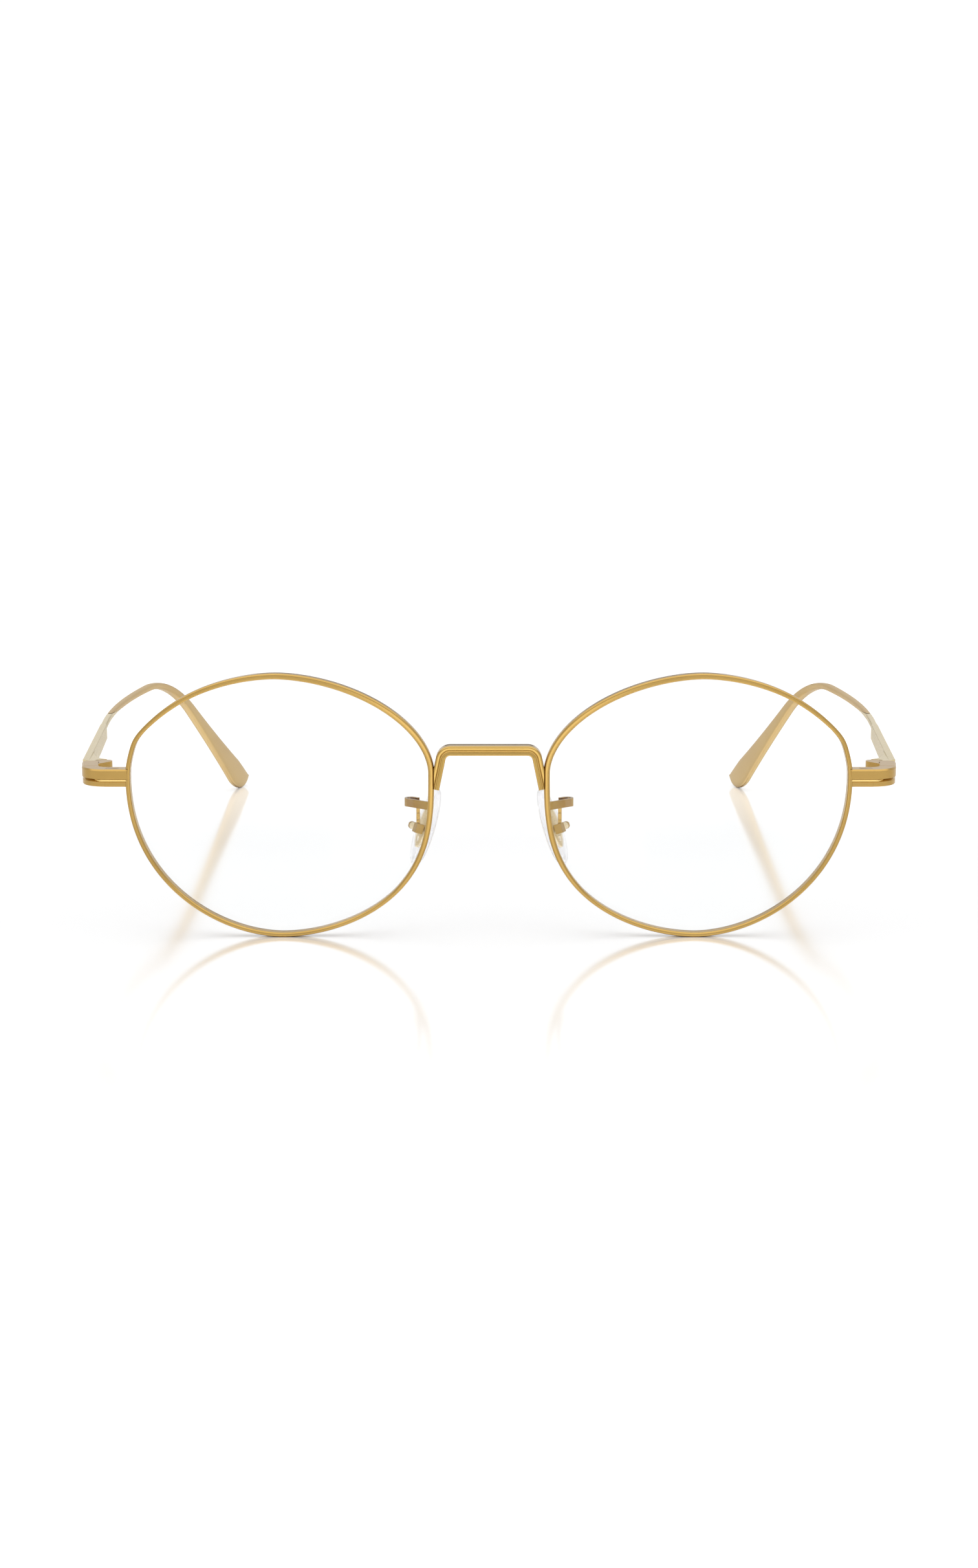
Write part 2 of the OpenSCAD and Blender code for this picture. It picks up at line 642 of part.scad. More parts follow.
// Plane of the slanted seam between temple and tip, as everything above or below it
module seam_side(up) {
    from = place(tip_start) + [0, 0, wire_h / 2];
    to = place(tip_start + seam_len) - [0, 0, tip_h / 2];
    run = norm([to.x - from.x, to.y - from.y]);
    slant = atan2(from.z - to.z, run);
    size = 60;
    translate(from) rotate([0, 0, -heading(tip_start)]) rotate([-slant, 0, 0])
        translate([-size / 2, -size / 2, up ? SEAM_GAP : -size - SEAM_GAP]) cube(size);
}

// Temple: blade, gusset with the middle knuckle, and the thin stretch behind the blade
module temple(side) {
    blade_low = end_low - end_top;
    rise = blade_len * tan(temple_slope);
    inner = [end_x - blade_t, temple_y + gusset_len];
    gusset_top = plan(gusset_len) - [blade_t / 2, 0];
    gusset_tip = [hinge_x - 0.2, joint_y + knuckle_r + 0.3];
    gusset_turn = [inner.x - 0.1, joint_y + 2.6];
    curve = [for (f = [0 : GUSSET_STEP : 1])
        (1 - f) * (1 - f) * gusset_top + 2 * f * (1 - f) * gusset_turn + f * f * gusset_tip];
    wire_hs = [for (h = [blade_len - 3 : 5 : tip_start + seam_len + 5]) h];
    color(GOLD) on_side(side) difference() {
        union() {
            intersection() {
                translate([end_x, temple_y, end_top]) rotate([0, 0, -splay_out]) translate([0, -OVER, 0])
                    rotate([90, 0, -90]) mirror([1, 0, 0]) linear_extrude(blade_t)
                        polygon([[0, 0], [OVER, 0], [OVER + blade_len, rise],
                                 [OVER + blade_len, blade_low + blade_rise],
                                 [OVER + blade_even, blade_low + even_rise], [0, blade_low]]);
                translate([0, temple_y, 0]) cube([2 * end_x, 4 * blade_len, 2 * end_top]);
            }
            translate([0, 0, end_low]) linear_extrude(end_top - end_low)
                polygon(concat([[gusset_tip.x, temple_y], [temple_x, temple_y], plan(gusset_len)], curve));
            translate([hinge_x, joint_y, hinge_mid - knuckle_h / 2])
                cylinder(h = knuckle_h, r = knuckle_r, $fn = ROUND);
            intersection() {
                loft([for (h = wire_hs) section(h, wire_h, blade_t, WIRE_FORM)]);
                seam_side(false);
            }
        }
        translate([hinge_x, joint_y, hinge_mid + knuckle_h / 2])
            cylinder(h = end_top, r = slot_r, $fn = ROUND);
        translate([hinge_x, joint_y, end_low - OVER])
            cylinder(h = hinge_mid - knuckle_h / 2 - end_low + OVER, r = slot_r, $fn = ROUND);
        translate([hinge_x, joint_y, end_low - OVER])
            cylinder(h = end_top, r = hinge_screw_r + run_play, $fn = ROUND);
        translate([0, 0, end_low - OVER]) linear_extrude(end_top - end_low + 2 * OVER)
            polygon([[end_x + OVER, temple_y + notch_w * (1 + OVER / notch_d)], [end_x - notch_d, temple_y],
                     [end_x - notch_d, temple_y - OVER], [end_x + OVER, temple_y - OVER]]);
    }
}

// Temple tip: slender behind the seam, bent down behind the ear and flattened to a paddle
module temple_tip(side) {
    color(SATIN) on_side(side) intersection() {
        loft(tip_rings);
        union() {
            seam_side(true);
            translate([0, plan(tip_start + seam_len + 4).y, -OVER]) cube(4 * end_x);
        }
    }
}

// Frame of a nose pad: X leaves the nose, Y runs to the rear and Z up the pad
module pad_frame() {
    translate([pad_x, pad_y, lens_z - pad_drop])
        rotate([0, 0, -pad_splay]) rotate([0, -pad_lean, 0]) children();
}

// A lens-shaped leaf that stands on its long end, thick along X from x0 to x1
module pad_plate(half_w, half_len, x0, x1) {
    translate([x0, 0, 0]) rotate([90, 0, 90]) linear_extrude(x1 - x0)
        polygon([for (a = [0 : 15 : 345])
            [half_w * bulge(cos(a), LEAF_FORM), half_len * bulge(sin(a), LEAF_FORM)]]);
}

// Nose pad: a clear cushion with a pocket for its metal leaf
module nose_pad(side) {
    half = pad_t / 2;
    ts = [for (t = [0 : PAD_STEP : 360 - PAD_STEP]) t];
    function ring(f, dir) = let (swell = pow(1 - pow(f, PAD_DOME), 1 / PAD_DOME)) [for (t = ts)
        [dir * half * swell, f * pad_w / 2 * bulge(cos(t), PAD_FORM) * (1 - PAD_TAPER * sin(t)),
         f * pad_len / 2 * bulge(sin(t), PAD_FORM)]];
    rings = concat([for (k = [len(PAD_RINGS) - 1 : -1 : 0]) ring(PAD_RINGS[k], -1)],
                   [for (k = [1 : len(PAD_RINGS) - 1]) ring(PAD_RINGS[k], 1)]);
    color(PAD_CLEAR) on_side(side) pad_frame() difference() {
        domed_loft(rings, [-half, 0, 0], [half, 0, 0]);
        pad_plate(leaf_w / 2 + lens_play, leaf_len / 2 + lens_play,
                  LEAF_BACK - lens_play, LEAF_BACK + leaf_t + lens_play);
        translate([LEAF_BACK, -NECK_W / 2 - lens_play, -pivot_low - NECK_H / 2 - lens_play])
            cube([pad_t, NECK_W + 2 * lens_play, NECK_H + 2 * lens_play]);
    }
}

// Pad leaf: the metal plate inside the pad, its neck and the barrel for the screw
module pad_leaf(side) {
    color(BRIGHT_GOLD) on_side(side) pad_frame() difference() {
        union() {
            pad_plate(leaf_w / 2, leaf_len / 2, LEAF_BACK, LEAF_BACK + leaf_t);
            translate([LEAF_BACK + leaf_t / 2, -NECK_W / 2, -pivot_low - NECK_H / 2])
                cube([pivot_out - LEAF_BACK - leaf_t / 2, NECK_W, NECK_H]);
            translate([pivot_out, barrel_len / 2, -pivot_low]) rotate([90, 0, 0])
                cylinder(h = barrel_len, r = barrel_r, $fn = ROUND);
        }
        translate([pivot_out, barrel_len, -pivot_low]) rotate([90, 0, 0])
            cylinder(h = 2 * barrel_len, r = pad_screw_r + run_play, $fn = ROUND);
        translate([LEAF_BACK - OVER, 0, -leaf_len / 2 + 1.6 * LEAF_HOLE_R + 0.6]) rotate([0, 90, 0])
            cylinder(h = 2 * OVER + leaf_t, r = LEAF_HOLE_R, $fn = ROUND);
    }
}

// Pad screw: through the leaf's barrel into the arm's block
module pad_screw(side) {
    length = pad_head_h + barrel_len + 2 * side_play + block_len - 2 * BLOCK_WALL;
    color(BRIGHT_GOLD) on_side(side) pad_frame()
        translate([pivot_out, barrel_len / 2 + side_play + pad_head_h, -pivot_low]) rotate([90, 0, 0])
            screw(pad_screw_r, length, pad_head_r, pad_head_h);
}

// Where the arm's block and stalk meet, in the frame's own axes
block_y = -barrel_len / 2 - side_play - block_len / 2;
function pad_point(p) = let (
        q = [p.x * cos(pad_lean) - p.z * sin(pad_lean), p.y, p.x * sin(pad_lean) + p.z * cos(pad_lean)])
    [pad_x + q.x * cos(pad_splay) + q.y * sin(pad_splay),
     pad_y - q.x * sin(pad_splay) + q.y * cos(pad_splay),
     lens_z - pad_drop + q.z];

// A square post of side w standing at p, from z0 to z1
module post(p, w, z0, z1) {
    translate([p.x - w / 2, p.y - w / 2, z0]) cube([w, w, z1 - z0]);
}

// Pad arm: a ribbon from the back of the rim, looped once, then a stalk and a block
module pad_arm(side) {
    top = lens_z + ribbon_rise;
    foot_t = 180;
    foot_x = lens_x + outline(foot_t).x + rim_w / 4;
    foot_y = rim_face + sag(outline(foot_t)) + rim_d + SEAM_GAP;
    stalk = pad_point([pivot_out, block_y, -pivot_low]);
    loop = [foot_x + loop_reach, foot_y + loop_reach * LOOP_SLANT];
    path = bent([[foot_x, foot_y], [foot_x + FOOT_STEP.x, foot_y + FOOT_STEP.y], loop,
                 [loop.x - LOOP_BACK, loop.y + 2 * loop_r], [stalk.x, stalk.y]], loop_r * LOOP_SHARE);
    count = len(path);
    ribbon = concat([for (k = [0 : count - 1]) path[k] + ribbon_t / 2 * side_of(path, k)],
                    [for (k = [count - 1 : -1 : 0]) path[k] - ribbon_t / 2 * side_of(path, k)]);
    stalk_low = stalk.z + block_h / 2 - ribbon_t;
    stalk_high = top - ribbon_h;
    piece = (stalk_high - stalk_low) / STALK_PARTS;
    color(BRIGHT_GOLD) on_side(side) {
        difference() {
            union() {
                translate([0, 0, top - ribbon_h]) linear_extrude(ribbon_h) polygon(ribbon);
                post(stalk, stalk_w - STALK_GROOVE, stalk_low - STALK_GROOVE, top);
                for (k = [0 : STALK_PARTS - 1]) {
                    post(stalk, stalk_w, stalk_low + k * piece, stalk_low + (k + 1) * piece - STALK_GROOVE);
                }
                pad_frame()
                    translate([pivot_out - block_w / 2, block_y - block_len / 2, -pivot_low - block_h / 2])
                        cube([block_w, block_len, block_h]);
            }
            pad_frame() translate([pivot_out, block_y + block_len, -pivot_low]) rotate([90, 0, 0])
                cylinder(h = 1.5 * block_len - BLOCK_WALL, r = pad_screw_r + run_play, $fn = ROUND);
        }
    }
}

rim(1);  // rim_left
rim(-1);  // rim_right
lens(1);  // lens_left
lens(-1);  // lens_right
bridge();
end_piece(1);  // end_piece_left
end_piece(-1);  // end_piece_right
closing_block(1);  // closing_block_left
closing_block(-1);  // closing_block_right
closing_screw(1);  // closing_screw_left
closing_screw(-1);  // closing_screw_right
hinge_screw(1);  // hinge_screw_left
hinge_screw(-1);  // hinge_screw_right
temple(1);  // temple_left
temple(-1);  // temple_right
temple_tip(1);  // temple_tip_left
temple_tip(-1);  // temple_tip_right
pad_arm(1);  // pad_arm_left
pad_arm(-1);  // pad_arm_right
nose_pad(1);  // nose_pad_left
nose_pad(-1);  // nose_pad_right
pad_leaf(1);  // pad_leaf_left
pad_leaf(-1);  // pad_leaf_right
pad_screw(1);  // pad_screw_left
pad_screw(-1);  // pad_screw_right
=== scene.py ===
import math

import bmesh
import bpy
import numpy as np
from mathutils import Matrix, Vector


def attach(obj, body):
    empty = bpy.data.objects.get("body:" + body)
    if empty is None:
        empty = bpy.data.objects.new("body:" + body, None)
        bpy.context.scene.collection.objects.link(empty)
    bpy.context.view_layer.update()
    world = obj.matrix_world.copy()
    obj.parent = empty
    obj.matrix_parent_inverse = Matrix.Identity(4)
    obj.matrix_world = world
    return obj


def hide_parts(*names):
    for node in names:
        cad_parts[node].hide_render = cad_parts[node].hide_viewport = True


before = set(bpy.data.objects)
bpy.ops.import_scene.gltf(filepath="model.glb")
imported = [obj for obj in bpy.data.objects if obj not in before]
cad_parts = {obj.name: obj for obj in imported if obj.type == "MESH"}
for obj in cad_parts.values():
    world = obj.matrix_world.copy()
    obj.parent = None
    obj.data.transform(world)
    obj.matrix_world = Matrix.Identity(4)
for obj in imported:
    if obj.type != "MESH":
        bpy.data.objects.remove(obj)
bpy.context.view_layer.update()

MM = 0.001

# Sizes in millimetres, in the frame of the part's source before its origin is moved:
# X to the wearer's left, Y from the front face to the rear, Z up from the table
ORIGIN_Y = 70.4142

# Lenses and the groove that holds them
LENS_W = 50.0
LENS_H = 43.3
LENS_GAP = 18.9
LENS_T = 1.8
LENS_PLAY = 0.05
BEVEL_H = 0.4
BEVEL_W = 0.8
BASE_R = 130.0

# Outline of a lens: the height of its widest points, the shift of its top and bottom,
# and the form of its curves, where 2 is an ellipse and more is squarer
WIDE_OUTER = 4.7
WIDE_INNER = 5.6
TOP_SHIFT = 0.5
LOW_SHIFT = 0.2
TOP_FORM = 1.81
LOW_FORM = 1.83
UPPER_OUTER = 2.1
UPPER_INNER = 1.82
LOWER_OUTER = 2.18
LOWER_INNER = 3.0

# The rim turns a little more sharply above the end piece and runs flatter beyond that
SHOULDER = 0.26
SHOULDER_Z = 11.0
SHOULDER_LEN = 1.9
FLAT_Z = 16.3
FLAT_LEN = 3.0

# Rims: the wire, its rounded edges from the inner front corner on, the fuller inner edge,
# the split beside the end piece and the thin gap in the wire above the end piece
RIM_W = 0.75
RIM_D = 2.0
RIM_ROUNDS = [0.33, 0.33, 0.25, 0.25]
RIM_LIP = 0.28
LIP_FORM = 0.7
RIM_SPLIT = 0.012
NICK_IN = 0.45
NICK_OUT = 0.3
NICK_FRONT = -4
NICK_BACK = 0.9
NICK_H = 0.09

# Bridge: the bar, its legs and the ribs along its front; the edges of its section are
# rounded from the upper front corner on
BAR_RISE = 9.2
FOOT_RISE = 2.8
FOOT_LAP = 0.05
LEG_LEAN = math.radians(11.8)
CORNER_R = 1.6
BAR_H = 1.6
BAR_D = 3.0
BAR_PROUD = 0.3
BAR_ROUNDS = [0.3, 0.14, 0.03, 0.12, 0.03, 0.16, 0.3, 0.3]
RIB_SHARE = 0.41
FINE_SHARE = 0.37
RIB_GROOVE = 0.22
LOW_RIB_D = 0.05

# End pieces with their closing blocks
SPLIT_RISE = 4.4
SPLIT_GAP = 0.06
UPPER_H = 1.7
LOWER_H = 1.2
END_REACH = 8.7
END_EDGE = 0.25
END_CORNER = 4.4
END_SPLAY = math.radians(10)

# Joint between end piece and temple
JOINT_Y = 9.1
NOTCH_D = 1.1
NOTCH_W = 0.85
HINGE_IN = 3.7
HINGE_DROP = 0.1
KNUCKLE_R = 1.4
KNUCKLE_H = 0.9
SCREW_R = 0.5
RUN_PLAY = 0.04
SIDE_PLAY = 0.06

# Temples: the blade, the gusset that widens it at the joint, and the wire with its bow,
# which starts inside the blade
BLADE_T = 1.2
BLADE_LEN = 36.0
BLADE_EVEN = 22.0
EVEN_RISE = 0.3
BLADE_RISE = 0.9
BLADE_ROUND = 0.08
GUSSET_LEN = 10.5
GUSSET_TIP_IN = 0.2
GUSSET_TIP_BACK = 0.3
GUSSET_TURN_IN = 0.1
GUSSET_TURN_BACK = 2.6
TEMPLE_SLOPE = math.radians(1.2)
SPLAY_OUT = math.radians(5.1)
SPLAY_IN = math.radians(17.4)
BOW_START = 41.0
BOW_R = 170.0
WIRE_H = 1.0
WIRE_FORM = 4.0
WIRE_LAP = 3

# Temple tips: the slanted seam and how far the skins reach past it before they are cut, the
# bend behind the ear, and the paddle with its leaning end
TIP_START = 48.0
SEAM_LEN = 13.0
SEAM_LINE = 0.03
SEAM_PAST = 5
COVER_LAP = 2
BEND_START = 82.6
BEND_R = 38.7
BEND_DROP = math.radians(37.7)
TIP_H = 1.05
TIP_T = 1.95
PADDLE_W = 5.8
TIP_SWELL = 4.0
TIP_ROUND = 7.1
TIP_LEAN = 1.0
TIP_FORM = 3.0
TIP_THIN = 0.45

# Nose pads
PAD_X = 10.7
PAD_Y = 9.0
PAD_DROP = 5.2
PAD_LEN = 13.6
PAD_W = 6.0
PAD_T = 2.0
PAD_SPLAY = math.radians(23)
PAD_LEAN = math.radians(19)
PAD_FORM = 2.2
PAD_DOME = 2.6
PAD_TAPER = 0.1

# How far cutters reach past what they cut, and the depth of those that cut the bridge
CUT_PAST = 1
BLOCK_FRONT = -5
BLOCK_BACK = 8

# Fineness of the skins
RIM_STEPS = 420
LENS_STEPS = 360
DISC_RINGS = 18
BLOCK_STEPS = 400
SECTION_STEPS = 56
CIRCLE_STEPS = 64
BEND_STEPS = 60
PAD_STEPS = 96
PAD_RINGS = 40

# Places that follow from the sizes
RIM_IN = BEVEL_H - LENS_PLAY
RIM_OUT = RIM_W - RIM_IN
LENS_X = (LENS_W + LENS_GAP) / 2
LENS_Z = LENS_H / 2 + RIM_OUT
SPLIT_Z = LENS_Z + SPLIT_RISE
END_TOP = LENS_Z + SPLIT_RISE + UPPER_H
END_LOW = LENS_Z + SPLIT_RISE - LOWER_H
END_X = LENS_X + LENS_W / 2 + RIM_OUT + END_REACH
EDGE_X = END_X - END_REACH
CORNER_X = (END_X - END_CORNER * math.cos(END_SPLAY)
            - (JOINT_Y - END_CORNER * (1 - math.sin(END_SPLAY))) * math.tan(END_SPLAY))
HINGE_X = END_X - HINGE_IN
HINGE_MID = (END_TOP + END_LOW) / 2 - HINGE_DROP
KNUCKLE_LOW = HINGE_MID - KNUCKLE_H / 2
KNUCKLE_TOP = HINGE_MID + KNUCKLE_H / 2
SLOT_R = KNUCKLE_R + SIDE_PLAY + RUN_PLAY


# Outline of the lens

def bulge(value, form):
    """A cosine or sine of a superellipse of this form."""
    return np.sign(value) * np.abs(value) ** (2 / form)


def swell(value, centre, length):
    """A soft bump of height 1 round the centre."""
    return np.exp(-((value - centre) / length) ** 2)


def outline(degrees):
    """Points of the left lens's outline from its centre, counted from the temple side upward."""
    cos, sin = np.cos(np.radians(degrees)), np.sin(np.radians(degrees))
    up, out = sin >= 0, cos >= 0
    shift = np.where(up, TOP_SHIFT, -LOW_SHIFT)
    level = np.where(out, WIDE_OUTER, WIDE_INNER)
    across = np.where(up, TOP_FORM, LOW_FORM)
    upper = np.where(out, UPPER_OUTER, UPPER_INNER)
    lower = np.where(out, LOWER_OUTER, LOWER_INNER)
    x = shift + (LENS_W / 2 - np.sign(cos) * shift) * bulge(cos, across)
    z = level + (LENS_H / 2 - np.sign(sin) * level) * bulge(sin, np.where(up, upper, lower))
    shoulder = swell(z, SHOULDER_Z, SHOULDER_LEN) - swell(z, FLAT_Z, FLAT_LEN)
    return np.stack([x + np.where(out, SHOULDER * shoulder, 0), z], -1)


def even_outline(first, last, count):
    """count points at even distances along the outline, and the outward direction at each."""
    dense = np.linspace(first, last, 20001)
    steps = np.linalg.norm(np.diff(outline(dense), axis=0), axis=1)
    run = np.concatenate([[0], np.cumsum(steps)])
    degrees = np.interp(np.linspace(0, run[-1], count), run, dense)
    ahead = outline(degrees + 0.3) - outline(degrees - 0.3)
    ahead /= np.linalg.norm(ahead, axis=1)[:, None]
    return outline(degrees), np.stack([ahead[:, 1], -ahead[:, 0]], -1)


def outline_at(height):
    """Angle at which the temple side of the outline has this height, below its widest level."""
    share = abs(height - WIDE_OUTER) / (LENS_H / 2 + WIDE_OUTER)
    return -math.degrees(math.asin(share ** (LOWER_OUTER / 2)))


def sag(points):
    """How far the lens's curve has gone back at these distances from its centre."""
    return BASE_R - np.sqrt(BASE_R ** 2 - (points ** 2).sum(-1))


RIM_FACE = -float(sag(np.array([LENS_W / 2, SPLIT_RISE])))


# Path of the temple

TEMPLE_X = END_X - BLADE_T / 2
TEMPLE_Y = JOINT_Y + SIDE_PLAY
TEMPLE_Z = END_TOP - WIRE_H / 2
BOW_TURN = SPLAY_OUT + SPLAY_IN
BOW_END = BOW_START + BOW_R * BOW_TURN
BOW_CENTRE = (TEMPLE_X + BOW_START * math.sin(SPLAY_OUT) - BOW_R * math.cos(SPLAY_OUT),
              TEMPLE_Y + BOW_START * math.cos(SPLAY_OUT) + BOW_R * math.sin(SPLAY_OUT))
BEND_PEAK = BEND_START + BEND_R * math.sin(TEMPLE_SLOPE)
BEND_END = BEND_PEAK + BEND_R * math.sin(BEND_DROP)
BEND_LOW = TEMPLE_Z + BEND_START * math.tan(TEMPLE_SLOPE) - BEND_R * math.cos(TEMPLE_SLOPE)
DROP_Z = BEND_LOW + BEND_R * math.cos(BEND_DROP)


def heading(run):
    """Direction of the temple's plan at this run: outward at first, inward after the bow."""
    return SPLAY_OUT - BOW_TURN * min(1, max(0, (run - BOW_START) / (BOW_END - BOW_START)))


def plan(run):
    """X and Y of the left temple's centre line at this run from the joint."""
    if run <= BOW_START:
        return TEMPLE_X + run * math.sin(SPLAY_OUT), TEMPLE_Y + run * math.cos(SPLAY_OUT)
    turn = heading(run)
    x = BOW_CENTRE[0] + BOW_R * math.cos(turn)
    y = BOW_CENTRE[1] - BOW_R * math.sin(turn)
    beyond = max(0, run - BOW_END)
    return x - beyond * math.sin(SPLAY_IN), y + beyond * math.cos(SPLAY_IN)


def height(run):
    """Z of the centre line: a slight rise, the bend behind the ear and the drop."""
    if run <= BEND_START:
        return TEMPLE_Z + run * math.tan(TEMPLE_SLOPE)
    if run <= BEND_END:
        return BEND_LOW + math.sqrt(BEND_R ** 2 - (run - BEND_PEAK) ** 2)
    return DROP_Z - (run - BEND_END) * math.tan(BEND_DROP)


def place(run):
    """Point of the centre line at this run."""
    return np.array([*plan(run), height(run)])


def along(run):
    """Direction of the centre line at this run."""
    step = place(run + 0.1) - place(run - 0.1)
    return step / np.linalg.norm(step)


def section(run, width, thick, form, extra=0.0, lift=0.0):
    """A rounded ring across the temple, moved extra along it and lift upward.

    Thick is measured across the temple in its plan, and width is upright.
    """
    out = np.array([math.cos(heading(run)), -math.sin(heading(run)), 0])
    up = np.cross(out, along(run))
    turns = np.linspace(0, 2 * math.pi, SECTION_STEPS, endpoint=False)
    middle = place(run) + extra * along(run) + lift * up
    return (middle + thick / 2 * bulge(np.cos(turns), form)[:, None] * out
            + width / 2 * bulge(np.sin(turns), form)[:, None] * up)


def round_width(turn):
    """Width of the paddle in its rounded end, from turn 0 at its start to a right angle at its tip."""
    return PADDLE_W * math.cos(turn) ** (2 / 3)


def round_lift(turn):
    """Lift of the paddle's middle in its rounded end, which makes that end lean."""
    return TIP_LEAN * (PADDLE_W - round_width(turn)) / 2


def round_depth(turn):
    """How far the rounded end reaches below the paddle's last full section."""
    reach = TIP_ROUND * math.sin(turn) * math.sin(BEND_DROP)
    return reach + (round_width(turn) / 2 - round_lift(turn)) * math.cos(BEND_DROP)


# The paddle ends where the lowest point of its rounded end stands on the table
TIP_DEPTH = max(round_depth(turn) for turn in np.radians(np.arange(0, 90, 5)))
PADDLE_H = BEND_END + (DROP_Z - TIP_DEPTH) / math.tan(BEND_DROP)


def tip_part(run, last):
    """Share of the way from the tip's start to last."""
    return min(1, max(0, (run - TIP_START) / (last - TIP_START)))


# Mesh helpers

def to_frame(points, side):
    """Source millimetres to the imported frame's metres, on the left (1) or right (-1) side."""
    p = np.array(points, float)
    return (p - [0, ORIGIN_Y, 0]) * [side * MM, MM, MM]


def shade(mesh, angle):
    """Smooth shading, except across edges that turn more than the angle in degrees."""
    mesh.shade_smooth()
    mesh.set_sharp_from_angle(angle=math.radians(angle))


def finish_mesh(bm, name, angle):
    """A named object from a bmesh, shaded with this angle."""
    bmesh.ops.recalc_face_normals(bm, faces=bm.faces)
    mesh = bpy.data.meshes.new(name)
    bm.to_mesh(mesh)
    bm.free()
    shade(mesh, angle)
    obj = bpy.data.objects.new(name, mesh)
    bpy.context.scene.collection.objects.link(obj)
    return obj


def loft(rings, side):
    """A bmesh skin through rings of equally many points, with a face over the first and last."""
    rings = np.array(rings, float)
    count, size = rings.shape[:2]
    bm = bmesh.new()
    verts = [bm.verts.new(point) for point in to_frame(rings.reshape(-1, 3), side)]
    for k in range(count - 1):
        here, there = verts[k * size:(k + 1) * size], verts[(k + 1) * size:(k + 2) * size]
        for a in range(size):
            b = (a + 1) % size
            bm.faces.new([here[a], here[b], there[b], there[a]])
    bm.faces.new(verts[:size])
    bm.faces.new(verts[-size:])
    return bm


def prism(points, low, high, side):
    """A bmesh solid over a flat outline in X and Y, from low to high."""
    return loft([[(x, y, z) for x, y in points] for z in (low, high)], side)


def cutter(points, low, high, side):
    """A prism that is made to be cut out of a piece."""
    return finish_mesh(prism(points, low, high, side), "cutter", 30)


def circle(x, y, radius):
    turns = np.linspace(0, 2 * math.pi, CIRCLE_STEPS, endpoint=False)
    return [(x + radius * math.cos(turn), y + radius * math.sin(turn)) for turn in turns]


def rectangle(left, right, front, back):
    return [(left, front), (right, front), (right, back), (left, back)]


def carve(obj, cutters, angle):
    """Cuts each cutter out of obj, removes the cutters and shades what is left."""
    for tool in cutters:
        cut = obj.modifiers.new("cut", "BOOLEAN")
        cut.object = tool
        cut.operation = "DIFFERENCE"
        cut.solver = "EXACT"
    bpy.context.view_layer.update()
    mesh = bpy.data.meshes.new_from_object(obj.evaluated_get(bpy.context.evaluated_depsgraph_get()))
    obj.modifiers.clear()
    obj.data = mesh
    for tool in cutters:
        bpy.data.objects.remove(tool)
    shade(mesh, angle)


def soften(obj, width):
    """Rounds an object's hard edges."""
    bevel = obj.modifiers.new("edges", "BEVEL")
    bevel.width = width * MM
    bevel.segments = 2
    bevel.limit_method = "ANGLE"
    bevel.angle_limit = math.radians(40)
    bevel.harden_normals = True


def fillet(points, radii, steps):
    """A closed flat outline with its corners rounded, one radius for each."""
    points = np.array(points, float)
    made = []
    for k, radius in enumerate(radii):
        corner = points[k]
        if radius == 0:
            made.append(corner)
            continue
        before, after = points[k - 1] - corner, points[(k + 1) % len(points)] - corner
        before, after = before / np.linalg.norm(before), after / np.linalg.norm(after)
        half = math.acos(np.clip(before @ after, -1, 1)) / 2
        centre = corner + (before + after) / np.linalg.norm(before + after) * radius / math.sin(half)
        start = corner + before * radius / math.tan(half) - centre
        end = corner + after * radius / math.tan(half) - centre
        turn = math.pi - 2 * half
        for share in np.linspace(0, 1, steps + 1):
            arm = start * math.sin((1 - share) * turn) + end * math.sin(share * turn)
            made.append(centre + arm / math.sin(turn))
    return np.array(made)


def part(obj, body, slot, material, *nodes):
    """Gives a piece its material and its body, and hides the source nodes it stands for; the slot is not
    used.
    """
    obj.data.materials.clear()
    obj.data.materials.append(material)
    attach(obj, body)
    if nodes:
        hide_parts(*nodes)
    return obj


# Shader helpers

def new_material(name):
    """A material without nodes, and its tree's nodes and links."""
    material = bpy.data.materials.new(name)
    material.use_nodes = True
    nodes, links = material.node_tree.nodes, material.node_tree.links
    nodes.clear()
    return material, nodes, links


def add(nodes, kind, **values):
    """A new shader node with these inputs set; an underscore in a name stands for a space."""
    node = nodes.new("ShaderNode" + kind)
    for name, value in values.items():
        node.inputs[name.replace("_", " ")].default_value = value
    return node


def noise(nodes, links, coord, scale, detail, rough):
    node = add(nodes, "TexNoise", Scale=scale, Detail=detail, Roughness=rough)
    links.new(coord, node.inputs["Vector"])
    return node.outputs["Fac"]


def passage(nodes, links, value, first, last, start, end, kind="LINEAR"):
    """A passage from start, where value is first, to end, where value is last."""
    node = add(nodes, "MapRange", From_Min=first, From_Max=last, To_Min=start, To_Max=end)
    node.interpolation_type = kind
    links.new(value, node.inputs["Value"])
    return node.outputs["Result"]


def fade(nodes, links, value, first, last, start, end):
    """A passage that starts and ends smoothly."""
    return passage(nodes, links, value, first, last, start, end, "SMOOTHSTEP")


def spread(nodes, links, value, low, high):
    """A noise, most of which lies between 0.3 and 0.7, spread from low to high."""
    return passage(nodes, links, value, 0.3, 0.7, low, high)


def combine(nodes, links, operation, first, second):
    """The sum, product or greater one of two values."""
    node = add(nodes, "Math")
    node.operation = operation
    links.new(first, node.inputs[0])
    links.new(second, node.inputs[1])
    return node.outputs["Value"]


def product(nodes, links, *values):
    total = values[0]
    for value in values[1:]:
        total = combine(nodes, links, "MULTIPLY", total, value)
    return total


def bump(nodes, links, height, strength, distance):
    """A node that tilts the surface after a noise; distance in millimetres."""
    node = add(nodes, "Bump", Strength=strength, Distance=distance * MM)
    links.new(height, node.inputs["Height"])
    return node


